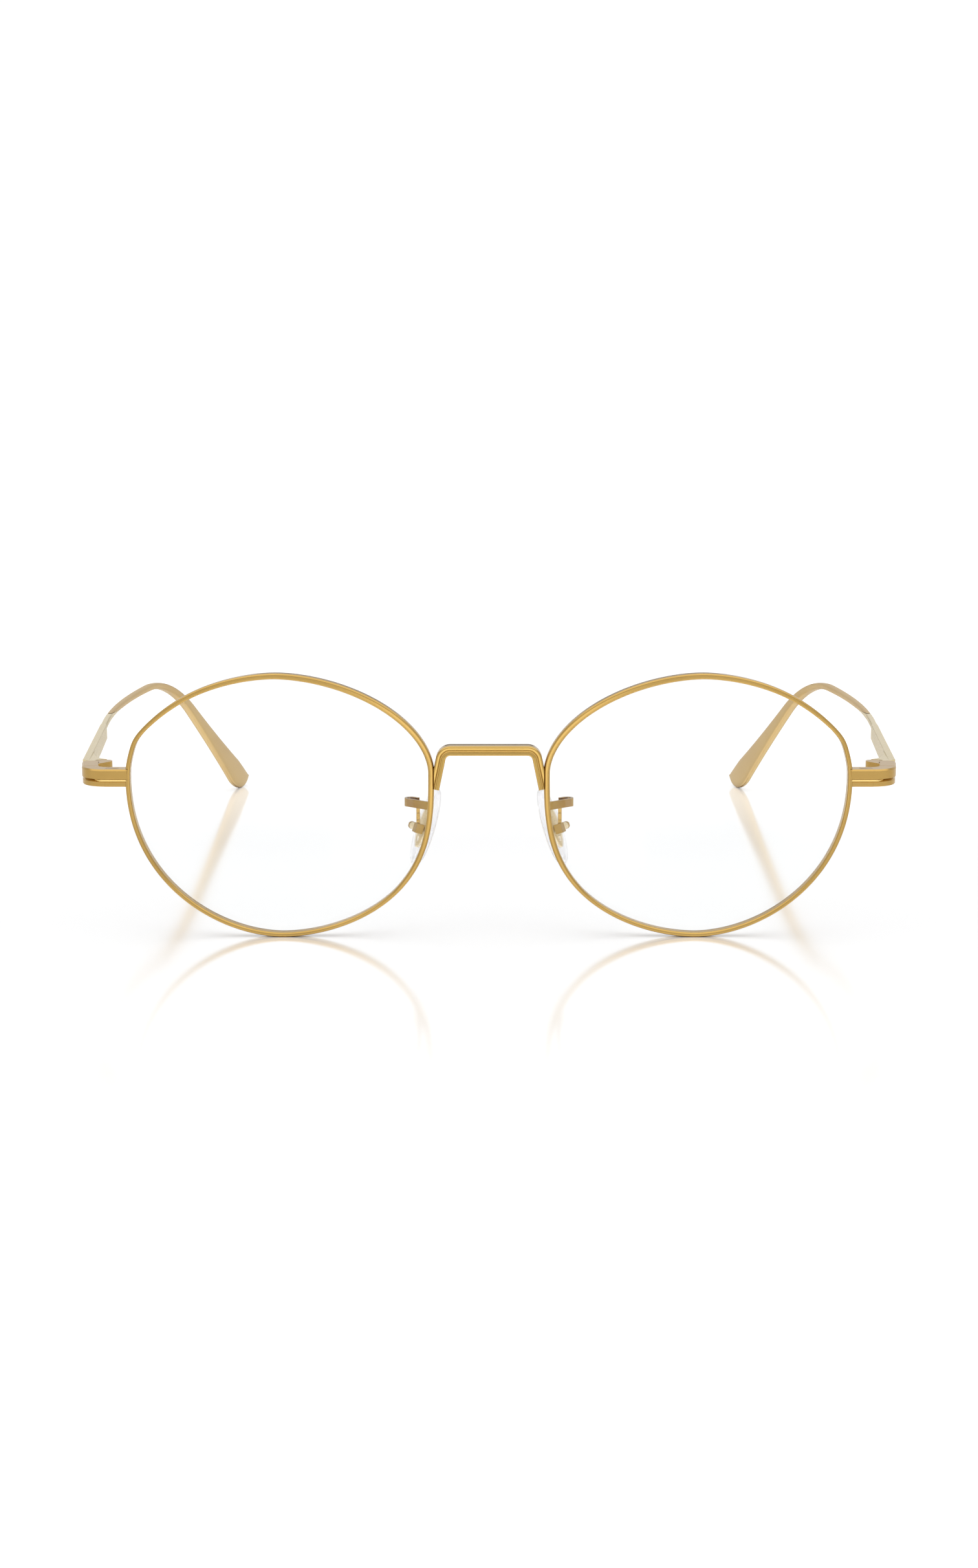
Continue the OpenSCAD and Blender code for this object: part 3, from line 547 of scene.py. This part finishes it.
def blend(nodes, links, share, first, second):
    """The first shader with a share of the second one, which is a number or a socket."""
    node = add(nodes, "MixShader")
    if isinstance(share, float):
        node.inputs["Fac"].default_value = share
    else:
        links.new(share, node.inputs["Fac"])
    links.new(first, node.inputs[1])
    links.new(second, node.inputs[2])
    return node.outputs["Shader"]


def show(nodes, links, shader, kind="OutputMaterial"):
    """Puts a shader on the output of a material or of the world."""
    links.new(shader, add(nodes, kind).inputs["Surface"])


# Materials

def metal(name, colour, deep, roughness, edge=0.05, grain=0.04):
    """Plated metal: clouded colour, fine grain, small pits and softly rounded edges."""
    material, nodes, links = new_material(name)
    coord = add(nodes, "TexCoord").outputs["Object"]
    cloud = noise(nodes, links, coord, 90, 3, 0.55)
    grains = noise(nodes, links, coord, 2600, 4, 0.6)
    pits = noise(nodes, links, coord, 900, 6, 0.7)
    tone = nodes.new("ShaderNodeMix")
    tone.data_type = "RGBA"
    tone.inputs["A"].default_value = (*deep, 1)
    tone.inputs["B"].default_value = (*colour, 1)
    links.new(spread(nodes, links, cloud, 0.0, 1.0), tone.inputs["Factor"])
    fine = spread(nodes, links, grains, roughness * 0.93, roughness * 1.03)
    coarse = spread(nodes, links, pits, 0.0, roughness * 0.06)
    bevel = add(nodes, "Bevel", Radius=edge * MM)
    bevel.samples = 6
    surface = bump(nodes, links, grains, grain, 0.004)
    links.new(bevel.outputs["Normal"], surface.inputs["Normal"])
    shader = add(nodes, "BsdfPrincipled", Metallic=1.0)
    links.new(tone.outputs["Result"], shader.inputs["Base Color"])
    links.new(combine(nodes, links, "ADD", fine, coarse), shader.inputs["Roughness"])
    links.new(surface.outputs["Normal"], shader.inputs["Normal"])
    show(nodes, links, shader.outputs["BSDF"])
    return material


def lens_glass():
    """A coated thin lens: almost all light passes, with a faint reflection and faint dust."""
    material, nodes, links = new_material("lens_clear")
    coord = add(nodes, "TexCoord").outputs["Object"]
    smear = noise(nodes, links, coord, 60, 3, 0.5)
    dust = noise(nodes, links, coord, 1500, 3, 0.5)
    clear = add(nodes, "BsdfTransparent", Color=(0.995, 0.998, 0.998, 1))
    gloss = add(nodes, "BsdfGlossy", Color=(0.93, 0.98, 1.0, 1))
    links.new(spread(nodes, links, smear, 0.01, 0.05), gloss.inputs["Roughness"])
    links.new(bump(nodes, links, dust, 0.02, 0.002).outputs["Normal"], gloss.inputs["Normal"])
    show(nodes, links, blend(nodes, links, 0.02, clear.outputs["BSDF"], gloss.outputs["BSDF"]))
    return material


def pad_clear():
    """Clear soft plastic: refracts, with cloudy roughness, and lets shadow rays through."""
    material, nodes, links = new_material("pad_clear")
    coord = add(nodes, "TexCoord").outputs["Object"]
    cloud = noise(nodes, links, coord, 350, 4, 0.6)
    shader = add(nodes, "BsdfPrincipled", Base_Color=(0.97, 0.97, 0.98, 1), Transmission_Weight=1.0, IOR=1.41)
    links.new(spread(nodes, links, cloud, 0.02, 0.07), shader.inputs["Roughness"])
    links.new(bump(nodes, links, cloud, 0.1, 0.01).outputs["Normal"], shader.inputs["Normal"])
    clear = add(nodes, "BsdfTransparent", Color=(0.965, 0.962, 0.965, 1))
    facing = add(nodes, "LayerWeight").outputs["Facing"]
    straight = fade(nodes, links, facing, 0.5, 0.95, 0.62, 0.1)
    shadow = add(nodes, "LightPath").outputs["Is Shadow Ray"]
    share = combine(nodes, links, "MAXIMUM", shadow, straight)
    show(nodes, links, blend(nodes, links, share, shader.outputs["BSDF"], clear.outputs["BSDF"]))
    return material


GOLD = metal("rim_metal", (0.505, 0.325, 0.099), (0.45, 0.285, 0.085), 0.24)
BRIDGE_GOLD = metal("bridge_metal", (0.52, 0.34, 0.102), (0.465, 0.30, 0.089), 0.2)
TEMPLE_GOLD = metal("temple_metal", (0.72, 0.605, 0.36), (0.68, 0.57, 0.33), 0.26)
SATIN = metal("tip_satin", (0.575, 0.405, 0.17), (0.535, 0.365, 0.148), 0.36, grain=0.12)
# A darker copy of the gold for the pad arms: painted shade standing in for the dark reflections on the arms
FITTING_GOLD_PAINTED_SHADE = metal("fitting_metal", (0.445, 0.285, 0.083), (0.385, 0.235, 0.062), 0.15, edge=0.08)
# The trim's gold is much paler than the rim's: a painted highlight for the bright band in the groove
PAINTED_HIGHLIGHT_GOLD = metal("trim_painted_highlight_metal", (0.88, 0.65, 0.26), (0.82, 0.59, 0.22), 0.2, edge=0.03)
LEAF_GOLD = metal("leaf_metal", (0.78, 0.64, 0.38), (0.72, 0.58, 0.33), 0.28)
SCREW_GOLD = metal("screw_metal", (0.47, 0.30, 0.083), (0.40, 0.245, 0.062), 0.22)
LENS = lens_glass()
PAD = pad_clear()

# Material and slot of every kind of node of the source
NODE_LOOKS = {
    "rim": (GOLD, "rim_metal"),
    "end_piece": (GOLD, "rim_metal"),
    "closing_block": (GOLD, "rim_metal"),
    "bridge": (BRIDGE_GOLD, "bridge_metal"),
    "temple": (TEMPLE_GOLD, "temple_metal"),
    "temple_tip": (SATIN, "tip_satin"),
    "closing_screw": (SCREW_GOLD, "screw_metal"),
    "hinge_screw": (SCREW_GOLD, "screw_metal"),
    "pad_screw": (SCREW_GOLD, "screw_metal"),
    "pad_arm": (FITTING_GOLD_PAINTED_SHADE, "fitting_metal"),
    "pad_leaf": (LEAF_GOLD, "fitting_metal"),
    "lens": (LENS, "lens_clear"),
    "nose_pad": (PAD, "pad_clear"),
}
for node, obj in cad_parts.items():
    kind = node.removesuffix("_left").removesuffix("_right")
    chosen, slot = NODE_LOOKS[kind]
    for k in range(len(obj.data.materials)):
        obj.data.materials[k] = chosen


# Pieces that stand for the source's coarse lofts

def rim(side, label):
    """The bent wire round a lens, wider inward at its top and on the nose side."""
    first = outline_at(SPLIT_RISE + RIM_SPLIT / 2)
    last = 360 + outline_at(SPLIT_RISE - RIM_SPLIT / 2)
    points, out = even_outline(first, last, RIM_STEPS)
    fullest = np.array([-math.sqrt(0.5), math.sqrt(0.5)])
    rings = []
    for point, outward, back in zip(points, out, sag(points)):
        inner = -RIM_IN - RIM_LIP * max(0.0, float(outward @ fullest)) ** LIP_FORM
        ring = []
        for width, depth in fillet(rectangle(inner, RIM_OUT, 0, RIM_D), RIM_ROUNDS, 6):
            ring.append((LENS_X + point[0] + width * outward[0], RIM_FACE + back + depth,
                         LENS_Z + point[1] + width * outward[1]))
        rings.append(ring)
    obj = finish_mesh(loft(rings, side), "rim_wire_" + label, 50)
    nick = rectangle(EDGE_X - NICK_IN, EDGE_X + NICK_OUT, NICK_FRONT, NICK_BACK)
    carve(obj, [cutter(nick, END_TOP, END_TOP + NICK_H, side)], 50)
    return part(obj, "front", "rim_metal", GOLD, "rim_" + label)


def lens(side, label):
    """A curved shell with a bevelled edge."""
    points, out = even_outline(0, 360 - 0.7, LENS_STEPS)
    front, mid, back = (RIM_D - LENS_T) / 2, RIM_D / 2, (RIM_D + LENS_T) / 2
    inner = points - BEVEL_H * out
    edge_sag = sag(points)
    shares = np.linspace(0.04, 1, DISC_RINGS)
    rings = []

    def ring(flat, curve, depth):
        rings.append([(x, back_by + depth, z) for (x, z), back_by in zip(flat, curve)])

    for share in shares:
        ring(share * inner, sag(share * inner), front)
    ring(inner, edge_sag, mid - BEVEL_W / 2)
    ring(points, edge_sag, mid)
    ring(inner, edge_sag, mid + BEVEL_W / 2)
    for share in shares[::-1]:
        ring(share * inner, sag(share * inner), back)
    rings = np.array(rings) + [LENS_X, RIM_FACE, LENS_Z]
    obj = finish_mesh(loft(rings, side), "lens_glass_" + label, 20)
    return part(obj, "front", "lens_clear", LENS, "lens_" + label)


def rim_block(side):
    """Everything inside the outer face of a rim, as a cutter."""
    points, out = even_outline(0, 360 - 0.8, BLOCK_STEPS)
    flat = points + RIM_OUT * out
    rings = [[(LENS_X + x, y, LENS_Z + z) for x, z in flat] for y in (BLOCK_FRONT, BLOCK_BACK)]
    return finish_mesh(loft(rings, side), "rim_block", 30)


def bridge():
    """The ribbed section run from foot to foot round two bends, cut to the rims."""
    half = BAR_H / 2
    rib = half - BAR_H * RIB_SHARE
    fine = (half + rib) * FINE_SHARE
    corners = [(half, 0), (rib, 0), (rib, RIB_GROOVE), (rib - fine / 2, 0.0), (rib - fine, RIB_GROOVE),
               (-half, LOW_RIB_D), (-half, BAR_D), (half, BAR_D)]
    profile = fillet(corners, BAR_ROUNDS, 5)
    foot = np.array([LENS_GAP / 2 - RIM_OUT - FOOT_LAP, LENS_Z + FOOT_RISE])
    knee = np.array([foot[0] - (BAR_RISE - FOOT_RISE) * math.tan(LEG_LEAN), LENS_Z + BAR_RISE])
    mirror = np.array([-1, 1])
    path = fillet([foot * mirror, knee * mirror, knee, foot], [0, CORNER_R, CORNER_R, 0], 20)
    rings = []
    for k, point in enumerate(path):
        ahead = path[min(len(path) - 1, k + 1)] - path[max(0, k - 1)]
        ahead = ahead / np.linalg.norm(ahead)
        rings.append([(point[0] - rise * ahead[1], depth - BAR_PROUD, point[1] + rise * ahead[0])
                      for rise, depth in profile])
    obj = finish_mesh(loft(rings, 1), "bridge_bar", 40)
    carve(obj, [rim_block(1), rim_block(-1)], 40)
    return part(obj, "front", "bridge_metal", BRIDGE_GOLD, "bridge")


# Outlines at the end piece, as depth from its front face against height from the split:
# the two tiers where they lap over the rim's rounded edge, the lower tier inside its seam,
# and the trim that lies in the groove between the tiers, whose pale bright gold is a painted highlight
UPPER_LAP = [(0.004, 0.09), (0.004, UPPER_H - END_EDGE), (END_EDGE, UPPER_H - 0.004), (0.5, UPPER_H - 0.004),
             (0.5, 0.06)]
LOWER_LAP = [(0.104, -1.09), (0.104, -0.43), (0.4, -0.14), (0.4, -1.19), (0.21, -1.19)]
SEAM_FILL = [(0.103, -1.097), (0.103, -0.434), (0.5, -0.037), (2.0, -0.037), (2.0, -1.197), (0.203, -1.197)]
TRIM = [(0.02, -0.32), (0.16, 0.02), (0.5, 0.02), (0.5, -0.32)]

# How far the laps reach over the rim and into the bar, and the fill past its seam
UPPER_LAP_IN = 0.28
LOWER_LAP_IN = 0.2
LAP_OUT = 0.3
FILL_LAP = 0.01

# The trim follows the corner for this turn and runs out in a point at this depth and height
TRIM_TURN = math.radians(28)
TRIM_TAPER = 1.6
TRIM_LEAST = 0.02
TRIM_POINT_Y = 0.4
TRIM_POINT_Z = 0.02
TRIM_ROUNDS = [0.04, 0.05, 0.02, 0.02]


def end_piece_details(side, label):
    """Thin trim on the end piece: the laps over the rim, the seam's fill and the strip in the groove,
    coloured paler than the rim as a painted highlight.
    """
    runs = {"upper_lap": (UPPER_LAP, EDGE_X - UPPER_LAP_IN, EDGE_X + LAP_OUT),
            "lower_lap": (LOWER_LAP, EDGE_X - LOWER_LAP_IN, EDGE_X + LAP_OUT),
            "seam_fill": (SEAM_FILL, CORNER_X - SPLIT_GAP - FILL_LAP, CORNER_X + FILL_LAP)}
    for name, (shape, start, end) in runs.items():
        rings = [[(x, y, SPLIT_Z + z) for y, z in shape] for x in (start, end)]
        part(finish_mesh(loft(rings, side), f"{name}_{label}", 30), "front", "rim_metal", GOLD)
    shape = fillet(TRIM, TRIM_ROUNDS, 3)
    rings = [[(x, y, SPLIT_Z + z) for y, z in shape] for x in (EDGE_X - LOWER_LAP_IN, CORNER_X)]
    for turn in np.linspace(math.radians(2), TRIM_TURN, 12):
        share = min(1.0, (TRIM_TURN - turn) / TRIM_TURN * TRIM_TAPER + TRIM_LEAST)
        ring = []
        for y, z in shape:
            radius = END_CORNER - TRIM_POINT_Y - (y - TRIM_POINT_Y) * share
            rise = TRIM_POINT_Z + (z - TRIM_POINT_Z) * share
            ring.append((CORNER_X + radius * math.sin(turn), END_CORNER - radius * math.cos(turn),
                         SPLIT_Z + rise))
        rings.append(ring)
    # The strip in the groove gets the paler gold, a painted highlight
    part(finish_mesh(loft(rings, side), "groove_trim_" + label, 40), "front", "rim_metal", PAINTED_HIGHLIGHT_GOLD)


def seam_plane(side):
    """A point and the upward normal of the slanted seam between temple and tip."""
    start = place(TIP_START) + [0, 0, WIRE_H / 2]
    end = place(TIP_START + SEAM_LEN) - [0, 0, TIP_H / 2]
    slant = math.atan2(start[2] - end[2], np.linalg.norm((end - start)[:2]))
    turn = heading(TIP_START)
    normal = np.array([math.sin(slant) * math.sin(turn), math.sin(slant) * math.cos(turn), math.cos(slant)])
    return Vector(to_frame(start, side)), Vector(normal * [side, 1, 1])


def clip(bm, side, keep_up):
    """Cuts the front of a skin along the seam and keeps what is above or below it."""
    point, normal = seam_plane(side)
    point = point + normal * (SEAM_LINE if keep_up else -SEAM_LINE) * MM
    limit = float(to_frame([0, plan(TIP_START + SEAM_LEN + SEAM_PAST)[1], 0], side)[1])
    faces = [face for face in bm.faces if face.calc_center_median().y < limit]
    geometry = list({item for face in faces for item in (*face.verts, *face.edges)}) + faces
    cut = bmesh.ops.bisect_plane(bm, geom=geometry, plane_co=point, plane_no=normal,
                                 clear_inner=keep_up, clear_outer=not keep_up)
    edges = [item for item in cut["geom_cut"] if isinstance(item, bmesh.types.BMEdge)]
    bmesh.ops.holes_fill(bm, edges=edges, sides=0)
    return bm


def temple_blade(side, label):
    """The flat blade, whose lower edge rises toward the wire."""
    low = END_LOW - END_TOP
    profile = [(0, 0), (BLADE_LEN, BLADE_LEN * math.tan(TEMPLE_SLOPE)), (BLADE_LEN, low + BLADE_RISE),
               (BLADE_EVEN, low + EVEN_RISE), (0, low)]
    sin, cos = math.sin(SPLAY_OUT), math.cos(SPLAY_OUT)
    faces = []
    for depth in (0, BLADE_T):
        faces.append([(END_X + run * sin - depth * cos, max(TEMPLE_Y, TEMPLE_Y + run * cos + depth * sin),
                       END_TOP + z) for run, z in profile])
    return finish_mesh(loft(faces, side), "temple_blade_" + label, 30)


def temple_gusset(side, label):
    """The curved plate that widens the blade toward the knuckle."""
    top = np.array(plan(GUSSET_LEN)) - [BLADE_T / 2, 0]
    tip = np.array([HINGE_X - GUSSET_TIP_IN, JOINT_Y + KNUCKLE_R + GUSSET_TIP_BACK])
    turn = np.array([END_X - BLADE_T - GUSSET_TURN_IN, JOINT_Y + GUSSET_TURN_BACK])
    curve = [(1 - share) ** 2 * top + 2 * share * (1 - share) * turn + share * share * tip
             for share in np.linspace(0, 1, 25)]
    shape = [(tip[0], TEMPLE_Y), (TEMPLE_X, TEMPLE_Y), plan(GUSSET_LEN), *curve]
    return finish_mesh(prism(shape, END_LOW, END_TOP, side), "gusset_" + label, 30)


def joint_cutters(side):
    """The room for the end piece's knuckles, the hinge screw's bore and half of the V notch."""
    top, low = END_TOP + CUT_PAST, END_LOW - CUT_PAST
    notch = [(END_X + 1, TEMPLE_Y + NOTCH_W * (1 + 1 / NOTCH_D)), (END_X - NOTCH_D, TEMPLE_Y),
             (END_X - NOTCH_D, TEMPLE_Y - CUT_PAST), (END_X + 1, TEMPLE_Y - CUT_PAST)]
    slot = circle(HINGE_X, JOINT_Y, SLOT_R)
    bore = circle(HINGE_X, JOINT_Y, SCREW_R + RUN_PLAY)
    shapes = [(slot, KNUCKLE_TOP, top), (slot, low, KNUCKLE_LOW), (bore, low, top), (notch, low, top)]
    return [cutter(*shape, side) for shape in shapes]


def temple(side, label):
    """Blade, gusset and knuckle, with the wire that runs from the blade to the seam."""
    blade = temple_blade(side, label)
    gusset = temple_gusset(side, label)
    knuckle = prism(circle(HINGE_X, JOINT_Y, KNUCKLE_R), KNUCKLE_LOW, KNUCKLE_TOP, side)
    knuckle = finish_mesh(knuckle, "knuckle_" + label, 30)
    for obj in (blade, gusset, knuckle):
        carve(obj, joint_cutters(side), 30)
        soften(obj, BLADE_ROUND)
    runs = np.arange(BLADE_LEN - WIRE_LAP, TIP_START + SEAM_LEN + SEAM_PAST + 1, 1.0)
    wire = loft([section(run, WIRE_H, BLADE_T, WIRE_FORM) for run in runs], side)
    wire = finish_mesh(clip(wire, side, False), "temple_wire_" + label, 40)
    body = "temple_body_" + label
    part(blade, body, "temple_metal", TEMPLE_GOLD, "temple_" + label)
    for obj in (gusset, knuckle, wire):
        part(obj, body, "temple_metal", TEMPLE_GOLD)


def temple_tip(side, label):
    """The satin cover from the seam to the rounded end of the paddle."""
    straight = np.arange(TIP_START - COVER_LAP, BEND_START, 1.0)
    bent = np.linspace(BEND_START, PADDLE_H, BEND_STEPS)
    rings = []
    for run in [*straight, *bent]:
        width = TIP_H + (PADDLE_W - TIP_H) * tip_part(run, PADDLE_H) ** TIP_SWELL
        thick = BLADE_T + (TIP_T - BLADE_T) * tip_part(run, BEND_START)
        rings.append(section(run, width, thick, TIP_FORM))
    for turn in np.radians([*range(5, 86, 5), 88]):
        thick = TIP_T * (1 - TIP_THIN + TIP_THIN * math.cos(turn))
        reach = TIP_ROUND * math.sin(turn)
        rings.append(section(PADDLE_H, round_width(turn), thick, TIP_FORM, reach, round_lift(turn)))
    obj = finish_mesh(clip(loft(rings, side), side, True), "tip_cover_" + label, 50)
    return part(obj, "temple_body_" + label, "tip_satin", SATIN, "temple_tip_" + label)


def nose_pad(side, label):
    """The clear pad: a domed oval, wider at the bottom, leaning and splayed."""
    turns = np.radians(np.linspace(0, 360, PAD_STEPS, endpoint=False))
    rings = []
    for angle in np.linspace(0.03, math.pi - 0.03, PAD_RINGS):
        size = math.sin(angle) ** (2 / PAD_DOME)
        x = -math.copysign(abs(math.cos(angle)) ** (2 / PAD_DOME), math.cos(angle)) * PAD_T / 2
        y = size * PAD_W / 2 * bulge(np.cos(turns), PAD_FORM) * (1 - PAD_TAPER * np.sin(turns))
        z = size * PAD_LEN / 2 * bulge(np.sin(turns), PAD_FORM)
        rings.append(np.stack([np.full_like(y, x), y, z], -1))
    lean = np.array(Matrix.Rotation(-PAD_LEAN, 3, "Y"))
    splay = np.array(Matrix.Rotation(-PAD_SPLAY, 3, "Z"))
    rings = np.array(rings) @ (splay @ lean).T + [PAD_X, PAD_Y, LENS_Z - PAD_DROP]
    obj = finish_mesh(loft(rings, side), "pad_cushion_" + label, 60)
    return part(obj, "pad_body_" + label, "pad_clear", PAD, "nose_pad_" + label)


for side, label in ((1, "left"), (-1, "right")):
    rim(side, label)
    lens(side, label)
    temple(side, label)
    temple_tip(side, label)
    nose_pad(side, label)
    end_piece_details(side, label)
bridge()


# Table, light and camera

# Levels of the surroundings: near the horizon and overhead as glossy surfaces mirror them,
# the share of that which lights matt surfaces, and what the camera sees behind the object
AROUND_LOW = 0.93
AROUND = 0.8
AROUND_DIFFUSE = 0.2
BACKDROP = 1.02

# Upward share of a direction where the lower level ends and where the upper one is reached
LOW_END = 0.3
HIGH_START = 0.5

# A window low behind the object where the surroundings are dimmer by this share, with the
# two shares of a direction between which each of its edges fades
FLAG_DEPTH = 0.8
FLAG_SIDE = (0.11, 0.15)
FLAG_REAR = (0.2, 0.4)
FLAG_TOP = (0.15, 0.185)

# The table mirrors more toward the rear, and its glow makes up for the dim window there;
# the places are Y in metres
FLOOR_GLOSS_NEAR = 0.2
FLOOR_GLOSS = 0.62
GLOSS_START = -0.17
GLOSS_END = -0.06
FLOOR_GLOW = 0.025
GLOW_START = 0.0
GLOW_END = 0.14
TABLE_HALF = 6

# Camera, in metres and degrees
CAMERA_PLACE = (0, -0.4229, 0.08893)
CAMERA_DOWN = 10.16
CAMERA_LENS = 50.0
CAMERA_SENSOR = 36.0


def floor_material():
    """White table top with a faint blurred reflection."""
    material, nodes, links = new_material("table_white")
    coord = add(nodes, "TexCoord").outputs["Object"]
    fine = noise(nodes, links, coord, 400, 3, 0.5)
    diffuse = add(nodes, "BsdfDiffuse", Color=(0.92, 0.92, 0.92, 1))
    gloss = add(nodes, "BsdfGlossy", Color=(1, 1, 1, 1))
    links.new(spread(nodes, links, fine, 0.11, 0.12), gloss.inputs["Roughness"])
    split = add(nodes, "SeparateXYZ")
    links.new(coord, split.inputs["Vector"])
    depth = split.outputs["Y"]
    share = fade(nodes, links, depth, GLOSS_START, GLOSS_END, FLOOR_GLOSS_NEAR, FLOOR_GLOSS)
    top = blend(nodes, links, share, diffuse.outputs["BSDF"], gloss.outputs["BSDF"])
    made_up = FLOOR_GLOSS * AROUND_LOW * FLAG_DEPTH
    lift = fade(nodes, links, depth, GLOW_START, GLOW_END, FLOOR_GLOW, FLOOR_GLOW + made_up)
    seen = add(nodes, "LightPath").outputs["Is Camera Ray"]
    glow = add(nodes, "Emission")
    links.new(product(nodes, links, seen, lift), glow.inputs["Strength"])
    total = add(nodes, "AddShader")
    links.new(top, total.inputs[0])
    links.new(glow.outputs["Emission"], total.inputs[1])
    show(nodes, links, total.outputs["Shader"])
    return material


bm = bmesh.new()
bmesh.ops.create_grid(bm, x_segments=1, y_segments=1, size=TABLE_HALF)
table_mesh = bpy.data.meshes.new("table_top")
bm.to_mesh(table_mesh)
bm.free()
table = bpy.data.objects.new("table_top", table_mesh)
table.data.materials.append(floor_material())
bpy.context.scene.collection.objects.link(table)


def hang(light, direction):
    """Puts a lamp into the scene so that it shines along direction."""
    obj = bpy.data.objects.new(light.name, light)
    obj.rotation_mode = "QUATERNION"
    obj.rotation_quaternion = Vector(direction).to_track_quat("-Z", "Y")
    bpy.context.scene.collection.objects.link(obj)
    return obj


def sun(name, direction, strength, spread_deg, mirrored):
    """An even lamp as wide as a large softbox, which glossy surfaces mirror or not."""
    light = bpy.data.lights.new(name, "SUN")
    light.energy = strength
    light.angle = math.radians(spread_deg)
    hang(light, direction).visible_glossy = mirrored


def panel(name, place_mm, aim_mm, width, height, radiance):
    """A soft rectangular lamp of an even radiance, hidden from the camera; sizes in millimetres."""
    light = bpy.data.lights.new(name, "AREA")
    light.shape = "RECTANGLE"
    light.size = width * MM
    light.size_y = height * MM
    light.energy = radiance * math.pi * width * height * MM * MM
    start, end = Vector(to_frame(place_mm, 1)), Vector(to_frame(aim_mm, 1))
    obj = hang(light, end - start)
    obj.location = start
    obj.visible_camera = False


sun("overhead", (0, 0.15, -1), strength=1.6, spread_deg=100, mirrored=True)
sun("shadow_maker", (0, 0.1, -1), strength=1.9, spread_deg=75, mirrored=False)
panel("front", (0, -105, 14), (0, 0, 22), width=40, height=30, radiance=1.1)


def studio():
    """The surroundings: white to the camera, and a dimmer pale sky to everything else."""
    world = bpy.data.worlds.new("studio")
    world.use_nodes = True
    world.cycles.sampling_method = "NONE"
    nodes, links = world.node_tree.nodes, world.node_tree.links
    nodes.clear()
    split = add(nodes, "SeparateXYZ")
    links.new(add(nodes, "TexCoord").outputs["Generated"], split.inputs["Vector"])
    across, rear, up = split.outputs
    aside = add(nodes, "Math")
    aside.operation = "ABSOLUTE"
    links.new(across, aside.inputs[0])
    flag = product(nodes, links, fade(nodes, links, aside.outputs["Value"], *FLAG_SIDE, 1, 0),
                   fade(nodes, links, rear, *FLAG_REAR, 0, 1), fade(nodes, links, up, *FLAG_TOP, 1, 0))
    ray = add(nodes, "LightPath").outputs
    mirrored = combine(nodes, links, "MAXIMUM", ray["Is Glossy Ray"], ray["Is Transmission Ray"])
    level = product(nodes, links, fade(nodes, links, up, LOW_END, HIGH_START, AROUND_LOW, AROUND),
                    passage(nodes, links, flag, 0, 1, 1, 1 - FLAG_DEPTH),
                    passage(nodes, links, mirrored, 0, 1, AROUND_DIFFUSE, 1))
    tint = add(nodes, "ValToRGB")
    first, last = tint.color_ramp.elements
    first.position = 0.0
    first.color = (0.95, 0.95, 0.97, 1)
    last.position = 0.6
    last.color = (1, 1, 1, 1)
    links.new(up, tint.inputs["Fac"])
    around = add(nodes, "Background")
    links.new(level, around.inputs["Strength"])
    links.new(tint.outputs["Color"], around.inputs["Color"])
    seen = add(nodes, "Background", Color=(1, 1, 1, 1), Strength=BACKDROP)
    both = blend(nodes, links, ray["Is Camera Ray"], around.outputs["Background"], seen.outputs["Background"])
    show(nodes, links, both, "OutputWorld")
    return world


camera_data = bpy.data.cameras.new("camera")
camera_data.lens = CAMERA_LENS
camera_data.sensor_width = CAMERA_SENSOR
camera_data.clip_start = 0.01
camera_data.clip_end = 20
camera = bpy.data.objects.new("camera", camera_data)
camera.location = CAMERA_PLACE
camera.rotation_euler = (math.radians(90 - CAMERA_DOWN), 0, 0)

scene = bpy.context.scene
scene.world = studio()
scene.collection.objects.link(camera)
scene.camera = camera
scene.cycles.use_denoising = True
scene.cycles.max_bounces = 16
scene.cycles.transparent_max_bounces = 24
scene.view_settings.view_transform = "Standard"
